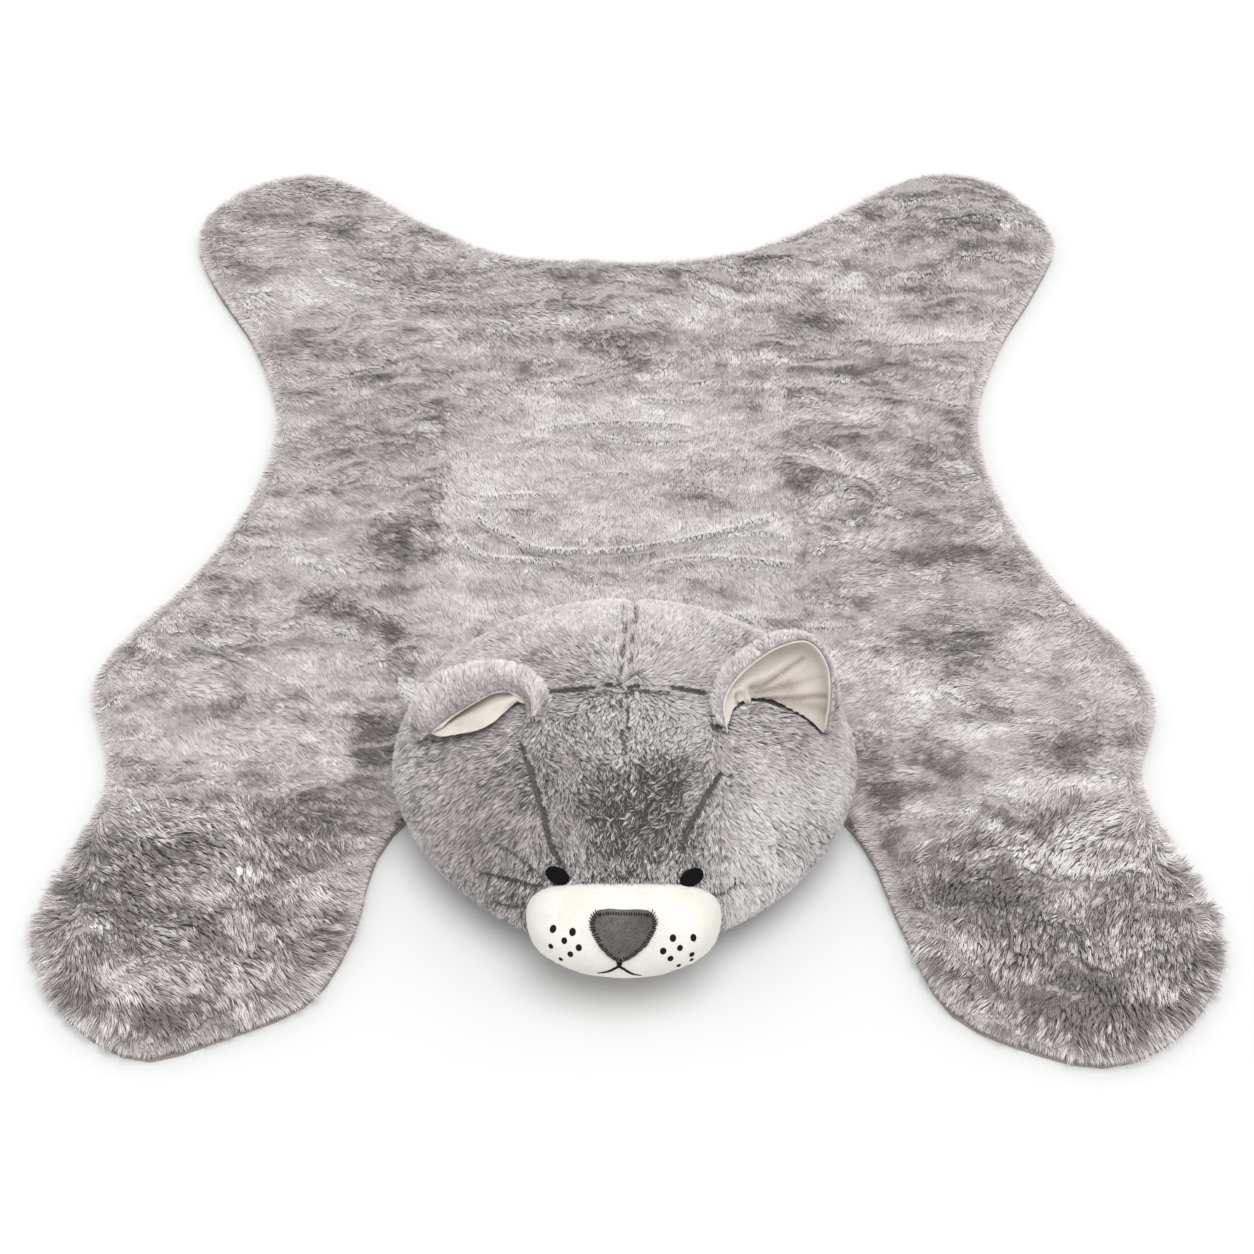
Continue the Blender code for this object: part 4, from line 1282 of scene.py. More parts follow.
@dataclass
class Rug(Assembly):
    """The flat pelt with its pile, on its backing.

    Attributes:
        skin_depth: How far the skin is drawn in for the pile, in metres.
        underside: Height of the skin's underside, in metres.
        body_each: Skin for one strand of the body, in square metres.
        paw_each: The same for the paws.
        rim_each: The same for the rim, the densest.
        rim_band: Breadth of the rim's pale pile, in mm.
        rim_edge: How much its inner edge wanders, in mm.
        lowest_root: How far over the underside strands begin, in metres.
        under_limit: How far a root may face down.
        under_head: How near over the pelt the head keeps strands off, in metres.
        steepest: The steepest slope that tilts strands.
        tone: Of the pelt on the whole.
        loose: How tousled it is on the whole.
        wave_height: Of the pile's waves, in mm.
        lump_height: Of its lumps, in metres.
        fine_lump_height: Of the small ones, in metres.
        seed: Of the roots.
        sort_seed: Of their sorting.
        pile_seed: Of the first pile, with the next ones after it.
        plan: The grid of the survey.
        grid: The survey on it.
        rim: Places along the backing's upper edge.
        outward: The way out at each of them.
    """

    name: str = "rug"
    skin_depth: float = 6.5 * MM
    underside: float = 2.3 * MM
    body_each: float = 1.55e-6
    paw_each: float = 2.7e-6
    rim_each: float = 1.4e-6
    rim_band: float = 13.0
    rim_edge: float = 5.0
    lowest_root: float = 1.0 * MM
    under_limit: float = -0.25
    under_head: float = 30.0 * MM
    steepest: float = 0.45
    tone: float = 0.57
    loose: float = 0.42
    wave_height: float = 3.6
    lump_height: float = 1.3 * MM
    fine_lump_height: float = 0.8 * MM
    seed: int = 11
    sort_seed: int = 5
    pile_seed: int = 21
    plan: PlanMap = field(default_factory=PlanMap)
    grid: Survey = field(init=False)
    rim: Numbers = field(init=False)
    outward: Numbers = field(init=False)

    def build(self) -> list[Thing]:
        """Build the backing, the pelt's skin and its pile.

        Returns:
            The pieces.
        """
        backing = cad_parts["backing"]
        finish_with(backing, BACKING_CLOTH.build())
        skin = self.make_skin()
        self.find_rim()
        self.grid = self.survey(self.plan.points)
        roots = scatter(skin, self.rim_each, self.seed)
        roots = roots.keep(roots.normals[:, 2] > self.under_limit)
        roots = roots.keep(roots.places[:, 2] > self.underside + self.lowest_root)
        roots = roots.clear_of(nodes_tree("head"), self.under_head)
        pieces = self.grow_pile(roots)
        for piece in (skin, *pieces):
            self.ride(piece, "rug_fur")
        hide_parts("rug_body")
        return [backing, skin, *pieces]

    def grow_pile(self, roots: Roots) -> list[Thing]:
        """Sort the roots into body, paws and rim, and grow each one's pile.

        Args:
            roots: All the roots on the skin.

        Returns:
            The pile's pieces.
        """
        rng = np.random.default_rng(self.sort_seed)
        here = self.at(roots.places)
        draw = rng.random(len(roots.places))
        away = here.away + self.rim_edge * Wander.RIM_EDGE.over(roots.places)
        on_side, outermost = roots.normals[:, 2] < 0.45, here.away < 5.0
        in_rim = (away < self.rim_band) & ((draw > here.paw) | on_side | outermost)
        in_paw = ~in_rim & (rng.random(len(draw)) < here.paw)
        keep = rng.random(len(draw))
        plans = (
            ("body_pile", BODY_PILE, ~in_rim & ~in_paw, self.body_each, GREY_PILE),
            ("paw_pile", PAW_PILE, in_paw, self.paw_each, GREY_PILE),
            ("rim_pile", RIM_PILE, in_rim, self.rim_each, RIM_FUR),
        )
        pieces = []
        for seed, (name, style, chosen, each, finish) in enumerate(plans, self.pile_seed):
            own = roots.keep(chosen & (keep <= self.rim_each / each))
            survey = self.at(own.places)
            self.lift(own, survey)
            pieces += Pile(name, style, seed).grow(
                own, self.strands(own, survey, style), each, finish.strands())
        return pieces

    def lift(self, roots: Roots, survey: Survey) -> None:
        """Raise the roots on top by the pile's waves, and tilt their normals.

        Args:
            roots: What is raised.
            survey: The waves at the roots.
        """
        top = smoothstep((roots.normals[:, 2] - 0.55) / 0.35)
        roots.places[:, 2] += survey.rise * top
        tilt = np.column_stack([survey.slope, np.zeros(len(top))]) * top[:, None]
        roots.normals = unit(roots.normals - tilt)

    def make_skin(self) -> Thing:
        """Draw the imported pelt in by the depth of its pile.

        Returns:
            The pelt's skin.
        """
        skin = merged_copy("rug_body", "pelt_skin")
        places, normals = places_of(skin), normals_of(skin)
        low = places[:, 2] < self.underside + 0.2 * MM
        inward = np.where(low[:, None], unit(normals * (1, 1, 0)), normals)
        level = low & (np.abs(normals[:, 2]) > 0.98)
        places = places - np.where(level[:, None], 0.0, inward * self.skin_depth)
        places[low, 2] = self.underside
        move_to(skin, places)
        refine(skin, 1, exact=False)
        places = places_of(skin)
        places[:, 2] = np.maximum(places[:, 2], self.underside)
        move_to(skin, places)
        finish_with(skin, GREY_PILE.skin())
        return skin

    def find_rim(self) -> None:
        """Note places along the backing's upper edge, and which way is out at each."""
        bm = merged("backing")
        places, outward = [], []
        for edge in bm.edges:
            start, end = (point.co for point in edge.verts)
            if edge.calc_face_angle(0.0) > 1.0 and min(start.z, end.z) > 1.0 * MM:
                side = min(edge.link_faces, key=lambda face: abs(face.normal.z))
                for share in np.arange(10) / 10:
                    places.append(start.lerp(end, share))
                    outward.append(side.normal.copy())
        bm.free()
        self.rim = np.array([tuple(place) for place in places]) * (1, 1, 0)
        self.outward = unit(np.array([tuple(way) for way in outward])[:, :2])

    def survey(self, points: Numbers) -> Survey:
        """Look at what the pelt does over the plan.

        Args:
            points: Plan points of the grid.

        Returns:
            What it does at each of them.
        """
        which, away = nearest(points, self.rim)
        away, outward = away / MM, self.outward[which]
        paw = self.paw_share(points)
        plain = self.plain_share(points)
        flow, parted = self.comb(points, away, outward, paw)
        patches = self.patches(points)
        part, strength, wave_run = self.waves(points)
        strength = strength * (1.0 - 0.75 * plain)
        held = smoothstep((strength - 0.2) / 0.4)
        ridge, groove, fold_rise, run = self.folds(points)
        at_fold = np.minimum(1.6 * ridge + 1.6 * groove, 1.0)
        run = np.minimum(run, wave_run * held + FREE_RUN * (1.0 - held))
        calm = 1.0 - 0.6 * plain
        tone = self.tone + patches + 0.05 * plain - 0.13 * paw
        tone += 0.16 * Wander.TONE_BROAD.over(points) * calm
        tone += 0.22 * Wander.TONE.over(points) * calm
        tone += 0.18 * Wander.TONE_FINE.over(points)
        # Painted light and shade of the waves: lighter on their raised backs, darker at their
        # fronts.
        tone += strength * (0.46 * (0.45 - part) - 0.26 * smoothstep((part - 0.88) / 0.10))
        # Painted highlight on the folds' ridges and painted shade in their grooves.
        tone += ridge * (1.0 - 0.7 * paw) - groove - 0.18 * parted
        loose = self.loose + 0.5 * Wander.LOOSENESS.over(points) - 1.1 * patches
        loose += 0.5 * parted - 0.25 * plain - 0.8 * at_fold
        rise = fold_rise + strength * self.wave_height * MM * (0.5 - part)
        rise += self.lump_height * Wander.LUMPS.over(points) * calm
        rise += self.fine_lump_height * Wander.LUMPS_FINE.over(points)
        slope = np.clip(self.plan.slope(rise), -self.steepest, self.steepest)
        return Survey(away, outward, paw, parted, np.clip(loose, 0.0, 1.0), tone, flow, run,
                      rise, slope)

    def at(self, places: Numbers) -> Survey:
        """The survey read off at some places."""
        return Survey(*(self.plan.read(getattr(self.grid, part.name), places)
                        for part in fields(Survey)))

    def paw_share(self, points: Numbers) -> Numbers:
        """How much each place belongs to a front paw.

        Args:
            points: Plan points.

        Returns:
            0 outside the paws to 1 well inside one.
        """
        share = np.zeros(len(points))
        for x, y in FRONT_PAWS:
            away = np.linalg.norm(points[:, :2] - np.array((x, y)) * MM, axis=1)
            share = np.maximum(share, 1.0 - smoothstep(away / (PAW_REACH * MM) - 0.85))
        return share

    def plain_share(self, points: Numbers) -> Numbers:
        """How much each place belongs to the smooth oblong in the pelt's middle.

        Args:
            points: Plan points.

        Returns:
            0 outside the oblong to 1 well inside it.
        """
        x, y = points[:, 0] / MM, points[:, 1] / MM
        x = x + 5.0 * Wander.OBLONG_EDGE.over(points)
        (left, right), (front, rear) = OBLONG_ACROSS, OBLONG_ALONG
        across = smoothstep((x - left) / 9) * smoothstep((right - x) / 9)
        return across * smoothstep((y - front) / 60) * smoothstep((rear - y) / 90)

    def comb(self, points: Numbers, away: Numbers, outward: Numbers,
             paw: Numbers) -> tuple[Numbers, Numbers]:
        """Comb the pile by the strokes, and out over the rim.

        Args:
            points: Plan points.
            away: How far each one is from the rim, in mm.
            outward: The way out at each one.
            paw: How much each one is a front paw.

        Returns:
            Which way the pile lies in plan, and how much it parts there.
        """
        total = np.zeros((len(points), 2))
        for _, x, y, bearing, spread in COMB:
            gap = np.linalg.norm(points[:, :2] - np.array((x, y)) * MM, axis=1)
            weight = bell(gap, spread * MM) + 1e-4
            turn = math.radians(bearing)
            total += weight[:, None] * (math.cos(turn), math.sin(turn))
        total = unit(total)
        band = 13.0 + 34.0 * paw
        near = away + (3.0 + 8.0 * paw) * Wander.COMBED_RIM.over(points)
        edge = (1.0 - smoothstep((near - 3.0) / band))[:, None]
        total = total * (1.0 - edge) + outward * edge * (2.6 - 1.35 * paw[:, None])
        strength = np.linalg.norm(total, axis=1)
        parted = (1.0 - smoothstep((strength - 0.15) / 0.55)) * (0.15 + 0.85 * paw)
        turn = (Wander.COMB_BROAD.over(points) * 0.30 + Wander.COMB_FINE.over(points) * 0.28
                + parted * Wander.PARTING.over(points) * 0.9)
        turned = swing(total, np.column_stack([-total[:, 1], total[:, 0]]), turn)
        return unit(turned), parted

    def waves(self, points: Numbers) -> tuple[Numbers, Numbers, Numbers]:
        """Soft waves that the pile lies in.

        Args:
            points: Plan points of the grid.

        Returns:
            The way through a wave, its strength, and how far its front edge is.
        """
        way = (points[:, 1] / (46 * MM) + 1.2 * Wander.WAVE_BEND.over(points)
               + 0.55 * Wander.WAVE_WOBBLE.over(points)
               + 0.12 * Wander.WAVE_FRAY.over(points))
        strength = smoothstep((Wander.WAVE_STRENGTH.over(points) + 0.25) / 0.6)
        steep = np.maximum(np.linalg.norm(self.plan.slope(way), axis=1), 4.0)
        return way % 1.0, strength, way % 1.0 / steep + 2.0 * MM

    def patches(self, points: Numbers) -> Numbers:
        """Lay the lighter and darker places, with uneven edges.

        Args:
            points: Plan points.

        Returns:
            The change of tone at each of them.
        """
        across = (16.0 * Wander.PATCH_ACROSS.over(points)
                  + 5.0 * Wander.PATCH_ACROSS_FINE.over(points))
        along = (11.0 * Wander.PATCH_ALONG.over(points)
                 + 4.0 * Wander.PATCH_ALONG_FINE.over(points))
        plan = points[:, :2] / MM + np.column_stack([across, along])
        change = np.zeros(len(points))
        for _, x, y, wide, long, turn, amount in SHADES:
            cos, sin = math.cos(math.radians(turn)), math.sin(math.radians(turn))
            off = plan - (x, y)
            u = (off[:, 0] * cos + off[:, 1] * sin) / wide
            v = (off[:, 1] * cos - off[:, 0] * sin) / long
            change += amount * np.exp(-((u**2 + v**2) ** 1.1) * 0.7)
        return change

    def folds(self, points: Numbers) -> tuple[Numbers, Numbers, Numbers, Numbers]:
        """Lay the pressed folds: strands end at a fold's line, and start anew below it.

        Args:
            points: Plan points of the grid.

        Returns:
            The painted highlight above the lines, the painted shade below them, the rise,
            and the run left to a strand, both in metres.
        """
        plan = points[:, :2] / MM
        ridge, groove, rise = np.zeros((3, len(points)))
        run = np.full(len(points), FREE_RUN)
        for _, height, *corners in FOLDS:
            line = smooth_line(np.array(corners, float), 5)
            near, away, left = distance_to_line(plan, line, FOLD_REACH)
            ends = np.linalg.norm(plan[near][:, None] - line[[0, -1]][None], axis=2).min(axis=1)
            size = height / 3.0 * smoothstep((ends + 4.0) / 22.0) * (away < FOLD_REACH)
            light = size * bell(left - RIDGE_PLACE, RIDGE_BREADTH)
            dark = size * bell(left - GROOVE_PLACE, GROOVE_BREADTH)
            # The ridge gets a painted highlight and the groove painted shade, as well as their
            # rise.
            ridge[near] += 0.70 * light
            groove[near] += 0.75 * dark
            rise[near] += (3.8 * light - 1.8 * dark) * MM
            held = smoothstep(size / 0.4)
            short = np.where(left > -0.4, left + 2.2, np.where(left > -1.8, 2.8, 1e3)) * MM
            run[near] = np.minimum(run[near], np.minimum(short, FREE_RUN) * held
                                   + FREE_RUN * (1.0 - held))
        return ridge, groove, rise, run

    def strands(self, roots: Roots, here: Survey, style: PileStyle) -> Strands:
        """What grows at each root of the pelt.

        Args:
            roots: Where strands stand.
            here: What the pelt does there.
            style: The pile's make.

        Returns:
            How each strand grows.
        """
        side = smoothstep((0.72 - roots.normals[:, 2]) / 0.5)
        length = style.length * (1.0 + 0.10 * Wander.LENGTH.over(roots.places))
        length *= 1.0 - 0.15 * here.loose - 0.25 * side * (1.0 - here.paw)
        length = np.minimum(length, np.maximum(here.run, 2.6 * MM))
        length = np.minimum(length, (here.away + 4.5 + 12.0 * (1.0 - here.paw)) * MM)
        down = np.column_stack([here.outward * 0.35, -np.ones(len(side))])
        flow = np.column_stack([here.flow, np.zeros(len(side))])
        flow = flow * (1.0 - side[:, None]) + down * side[:, None]
        rim = 1.0 - smoothstep((here.away - 6.0) / 12.0)
        tone = here.tone * (1.0 - 0.5 * rim) + 0.30 * rim
        upright = 0.34 * side + 0.18 * here.parted + 0.16 * here.loose - 0.14 * rim * here.paw
        return Strands(flow, length, tone, here.loose * (1.0 - 0.5 * rim), upright)


# Sewn seams of the head as points on it: name, depth in mm, then x, y and z in mm.
HEAD_SEAMS = (
    ("back seam", 1.5, (7, -123, 70), (5, -170, 129), (1, -229, 151), (-2, -282, 159),
     (-2, -320, 156), (-2, -349, 156)),
    ("crown seam", 2.9, (-68, -288, 155), (-32, -286, 158), (-2, -282, 159), (40, -285, 157),
     (66, -288, 153)),
    ("left brow seam", 2.8, (-88, -337, 150), (-82, -360, 145), (-76, -382, 139),
     (-70, -400, 134), (-68, -410, 131), (-63, -429, 122), (-58, -443, 116)),
    ("right brow seam", 2.4, (86, -367, 143), (67, -395, 138), (60, -407, 135), (53, -420, 131),
     (47, -434, 125)),
    ("left upper crease", 1.5, (-108, -423, 111), (-95, -433, 109), (-82, -443, 106),
     (-71, -450, 104)),
    ("left middle crease", 1.7, (-125, -434, 87), (-108, -442, 93), (-90, -449, 97),
     (-71, -455, 101)),
    ("left lower crease", 1.4, (-110, -454, 69), (-99, -459, 73), (-87, -463, 80)),
    ("right crease", 1.6, (61, -461, 97), (74, -459, 93), (87, -453, 89), (99, -446, 86)),
)

# Lighter and darker places of the head, partly the pile's own tone, as in the dark brow, and
# partly painted light on the right side and painted shade on the left cheek: name, x, y, z
# and reach in mm, change of tone.
HEAD_SHADES = (
    ("brow", 12, -404, 143, 46, -0.42),
    ("brow right", 44, -378, 151, 28, -0.20),
    ("brow front", 8, -438, 128, 26, -0.12),
    ("brow left", -26, -400, 145, 24, -0.08),
    ("left cheek", -116, -417, 111, 48, -0.20),
    ("left temple", -126, -368, 130, 34, -0.10),
    ("left front", -100, -450, 80, 30, -0.12),
    ("right cheek", 125, -385, 110, 52, 0.26),
    ("right cheek front", 100, -430, 88, 36, 0.16),
    ("right jaw", 120, -440, 60, 40, 0.16),
    ("forehead", 10, -326, 157, 42, 0.26),
    ("crown", 0, -280, 161, 60, 0.12),
    ("forehead right", 60, -318, 154, 26, 0.16),
    ("behind left ear", -110, -240, 140, 40, 0.12),
    ("right side", 185, -330, 80, 45, 0.24),
    ("left side", -190, -320, 80, 40, 0.12),
    ("beside right ear", 84, -322, 150, 14, -0.22),
)
# Where the pile parts on top of the head, and the tousled spot between the brow
# seams: x, y and z in mm.
CROWN = (4.0, -268.0, 165.0)
BROW = (12.0, -405.0, 143.0)

HEAD_PILE = PileStyle(
    length=6.8 * MM, width=0.85 * MM, lean=66.0, lean_spread=7.0, turn_spread=13.0,
    curl=0.24, strand=Strand.STRAIGHT, own_tone=0.38,
    clusters=(Cluster(2.8 * MM, 0.60, 0.44, 0.50), Cluster(8.0 * MM, 0.08, 0.16, 0.05)),
)
EAR_PILE = PileStyle(
    length=7.5 * MM, width=0.85 * MM, lean=52.0, lean_spread=8.0, turn_spread=12.0,
    curl=0.14, strand=Strand.STRAIGHT,
    clusters=(Cluster(3.6 * MM, 0.38, 0.34, 0.16),),
)


@dataclass
class Head(Assembly):
    """The stuffed head with its short curly pile.

    Attributes:
        skin_depth: How far the skin is drawn in for the pile, in metres.
        edge_depth: The same beside what is sewn on.
        seam_breadth: Half breadth of a seam's groove, in mm.
        bare_from: Seams deeper than this, in mm, have a bare line.
        bare_share: Half its breadth, as a share of how much deeper they are.
        each: Skin for one strand, in square metres.
        lowest_root: Height over the floor where strands begin, in metres.
        clear_sewn: How near over the skin sewn parts keep strands off, in metres.
        clear_ears: The same for the ears.
        clear_pelt: The same for the pelt.
        seed: Of the roots.
        pile_seed: Of the pile.
        sewn: What is sewn on the face.
        edge: Places on what is sewn on.
        eyes: Places on the eyes.
        seam: Places along the seams.
        seam_normal: The skin's normal at each of them.
        seam_depth: The seam's depth at each of them, in mm.
    """

    name: str = "head"
    skin_depth: float = 5.0 * MM
    edge_depth: float = 0.8 * MM
    seam_breadth: float = 2.0
    bare_from: float = 1.4
    bare_share: float = 0.30
    each: float = 0.92e-6
    lowest_root: float = 6.0 * MM
    clear_sewn: float = 12.0 * MM
    clear_ears: float = 7.0 * MM
    clear_pelt: float = 8.0 * MM
    seed: int = 61
    pile_seed: int = 62
    sewn: tuple[str, ...] = ("muzzle", "eye_left", "eye_right")
    edge: Numbers = field(init=False)
    eyes: Numbers = field(init=False)
    seam: Numbers = field(init=False)
    seam_normal: Numbers = field(init=False)
    seam_depth: Numbers = field(init=False)

    def build(self) -> list[Thing]:
        """Build the head's skin and its pile.

        Returns:
            The pieces.
        """
        sewn = [places_of(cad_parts[name]) for name in self.sewn]
        self.edge, self.eyes = np.vstack(sewn), np.vstack(sewn[1:])
        skin = self.make_skin()
        roots = scatter(skin, self.each, self.seed)
        roots = roots.keep(roots.places[:, 2] > self.lowest_root)
        away, _, depth = self.from_seams(roots.places)
        roots = roots.keep(away > self.bare_share * (depth - self.bare_from))
        roots = roots.clear_of(nodes_tree("nose", *self.sewn), self.clear_sewn)
        ears = [f"ear_{side}_{part}" for side in ("left", "right")
                for part in ("fur", "lining")]
        roots = roots.clear_of(nodes_tree(*ears), self.clear_ears)
        roots = roots.clear_of(nodes_tree("rug_body"), self.clear_pelt)
        pieces = Pile("head_pile", HEAD_PILE, self.pile_seed).grow(
            roots, self.strands(roots), self.each, HEAD_FUR.strands())
        self.ride(skin, "head_fur")
        for piece in pieces:
            self.ride(piece, "head_fur")
            piece.parent = skin
        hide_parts("head")
        return [skin, *pieces]

    def make_skin(self) -> Thing:
        """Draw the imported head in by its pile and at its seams.

        Returns:
            The head's skin.
        """
        skin = merged_copy("head", "head_skin")
        places, normals = places_of(skin), normals_of(skin)
        margin = smoothstep((nearest(places, self.edge)[1] / MM - 2.0) / 16.0)
        depth = (self.edge_depth + (self.skin_depth - self.edge_depth) * margin)[:, None]
        move_to(skin, places - normals * depth)
        refine(skin, 2)
        self.find_seams(skin)
        places, normals = places_of(skin), normals_of(skin)
        away, _, depth = self.from_seams(places)
        sunk = depth * bell(away, self.seam_breadth) * MM
        move_to(skin, places - normals * sunk[:, None])
        self.seam = self.seam - self.seam_normal * self.seam_depth[:, None] * MM
        finish_with(skin, HEAD_FUR.skin())
        return skin

    def find_seams(self, skin: Thing) -> None:
        """Lay the seams on the skin, as places one beside the other with their depth.

        Args:
            skin: What they are laid on.
        """
        ground = tree_of(skin)
        places, depths = [], []
        for _, depth, *corners in HEAD_SEAMS:
            for place in smooth_line(np.array(corners, float) * MM, 40):
                spot, normal = ground.find_nearest(Vector(place))[:2]
                places.append((tuple(spot), tuple(normal)))
                depths.append(depth)
        self.seam, self.seam_normal = np.array(places).transpose(1, 0, 2)
        self.seam_depth = np.array(depths)

    def from_seams(self, points: Numbers) -> tuple[Numbers, Numbers, Numbers]:
        """Distance from the nearest seam in mm, the way from it, and its depth in mm."""
        which, away = nearest(points, self.seam)
        return away / MM, unit(points - self.seam[which]), self.seam_depth[which]

    def strands(self, roots: Roots) -> Strands:
        """What grows at each root of the head.

        Args:
            roots: Where strands stand.

        Returns:
            How each strand grows.
        """
        points = roots.places
        flow = unit(points - np.array(CROWN) * MM)
        x, y = points[:, 0] / MM, points[:, 1] / MM
        panel = smoothstep((90.0 - np.abs(x)) / 30.0) * smoothstep((-305.0 - y) / 20.0)
        flow[:, 0] *= 1.0 - 1.9 * panel
        brow = np.exp(-((np.linalg.norm(points / MM - BROW, axis=1) / 50.0) ** 3))
        wild = 0.35 + 0.65 * brow
        turn = (Wander.HEAD_TURN.over(points) * 0.40
                + Wander.HEAD_TURN_FINE.over(points) * wild
                + Wander.HEAD_CURLS.over(points) * 0.8 * wild)
        away, from_seam, depth = self.from_seams(points)
        from_seam = unit(from_seam - roots.normals * dot(from_seam, roots.normals))
        drawn = np.clip((depth - 0.9) / 2.0, 0.0, 1.0)
        close = (1.0 - smoothstep((away - 2.0) / 4.0)) * drawn
        turn *= 1.0 - 0.8 * close
        flow = swing(flow, np.cross(flow, roots.normals), turn)
        margin = nearest(points, self.edge)[1] / MM
        fringe = 1.0 - smoothstep((margin - 5.0) / 12.0)
        fringe *= smoothstep((points[:, 2] / MM - 92.0) / 12.0)
        flow = flow * (1.0 - fringe[:, None]) + np.array((0.0, -0.6, -1.0)) * fringe[:, None]
        toward = np.maximum(-dot(flow, from_seam)[:, 0], 0.3)
        run = np.where(away < 14.0, away * MM / toward + 0.6 * MM, 1.0)
        flow = flow + from_seam * (close * 1.8)[:, None]
        length = HEAD_PILE.length * (0.62 + 0.38 * smoothstep((margin - 1.0) / 12.0))
        length = np.maximum(length, HEAD_PILE.length * 1.15 * fringe) * (1.0 - 0.45 * close)
        length *= 0.3 + 0.7 * smoothstep((nearest(points, self.eyes)[1] / MM - 1.0) / 6.0)
        sewn = np.exp(-((away / 2.2) ** 4)) * drawn
        length = np.minimum(length, np.maximum(run, 2.4 * MM)) * (1.0 - 0.6 * sewn)
        tone = (0.60 + 0.10 * Wander.HEAD_TONE.over(points)
                + 0.08 * Wander.HEAD_TONE_FINE.over(points))
        for _, x, y, z, reach, change in HEAD_SHADES:
            tone += change * bell(np.linalg.norm(points / MM - (x, y, z), axis=1), reach)
        # Painted shade along the seams' grooves.
        tone -= 1.1 * sewn
        # Painted light: lighter towards the back of the head.
        tone += 0.13 * smoothstep((points[:, 1] + 0.25) / 0.08)
        back = smoothstep((points[:, 1] + 0.30) / 0.05)
        loose = 0.22 + 0.5 * brow - 0.20 * back + 0.3 * Wander.HEAD_LOOSENESS.over(points)
        return Strands(flow, length, tone, np.clip(loose, 0.0, 1.0), 0.35 * fringe)


# Folds and creases of the ear linings: side, name, rise and half breadth in mm, shade (painted
# shade in the creases and hollows, and a little painted light on raised folds below 0), then
# x, y and z in mm.
EAR_FOLDS = (
    ("right", "turned band", 3.9, 4.4, -0.41, (90, -292, 156), (106, -280, 157),
     (118, -275, 157), (133, -266, 160), (150, -261, 171)),
    ("right", "under the band", -2.7, 1.6, 0.81, (108, -284, 152), (117, -281, 150),
     (129, -274, 153), (142, -266, 158), (153, -261, 164)),
    ("right", "upper pleat", 2.0, 1.8, -0.2, (112, -284, 149), (129, -278, 150),
     (147, -269, 155), (161, -262, 167)),
    ("right", "upper crease", -1.8, 1.8, 0.41, (112, -286, 147), (133, -280, 147),
     (151, -276, 149), (168, -275, 155)),
    ("right", "lower pleat", 2.4, 2.2, -0.2, (112, -288, 145), (125, -286, 144),
     (148, -283, 143), (161, -282, 145), (173, -283, 148)),
    ("right", "lower crease", -2.7, 1.7, 0.88, (110, -289, 142), (125, -288, 140),
     (148, -286, 139), (161, -285, 140), (173, -287, 143)),
    ("right", "hollow", 0.0, 5.0, 0.54, (116, -290, 139), (134, -289, 137), (148, -289, 136),
     (162, -291, 135), (173, -294, 134)),
    ("right", "inner hollow", 0.0, 8.5, 0.60, (110, -286, 147), (125, -283, 146),
     (140, -280, 146)),
    ("right", "small lobe", 4.8, 3.0, -0.34, (97, -288, 154), (102, -289, 151),
     (104, -292, 147)),
    ("right", "hook crease", -2.7, 1.4, 1.01, (94, -292, 154), (95, -296, 151),
     (96, -299, 149)),
    ("left", "lip", 6.6, 4.0, -0.41, (-150, -301, 152), (-136, -297, 158), (-127, -292, 161),
     (-110, -290, 163), (-97, -292, 163), (-90, -297, 162)),
    ("left", "under the lip", -1.7, 1.8, 0.54, (-166, -307, 141), (-153, -306, 147),
     (-136, -301, 151), (-119, -296, 154), (-103, -294, 158)),
    ("left", "lower strip", 2.2, 3.6, -0.27, (-162, -316, 138), (-144, -311, 142),
     (-127, -308, 147), (-110, -302, 152), (-97, -299, 158)),
    ("left", "lower line", -1.0, 1.0, 0.3, (-160, -319, 136), (-144, -315, 141),
     (-127, -312, 147), (-110, -306, 152)),
)
# The lining's painted shade of its creases and hollows, kept as the mesh's own values.
CREASE_SHADE = "crease"


class Side(Enum):
    """Which of two it is, as seen from the head's front."""

    LEFT = "left"
    RIGHT = "right"


@dataclass(frozen=True)
class EarCut:
    """The flat sizes of an ear's cloth, in metres and square metres."""

    lining: tuple[float, float]
    lining_area: float
    fur: tuple[float, float]
    fur_area: float


LEFT_EAR_CUT = EarCut((0.15, 0.08), 0.0088, (0.16, 0.085), 0.0097)
RIGHT_EAR_CUT = EarCut((0.14, 0.075), 0.0080, (0.155, 0.09), 0.0105)


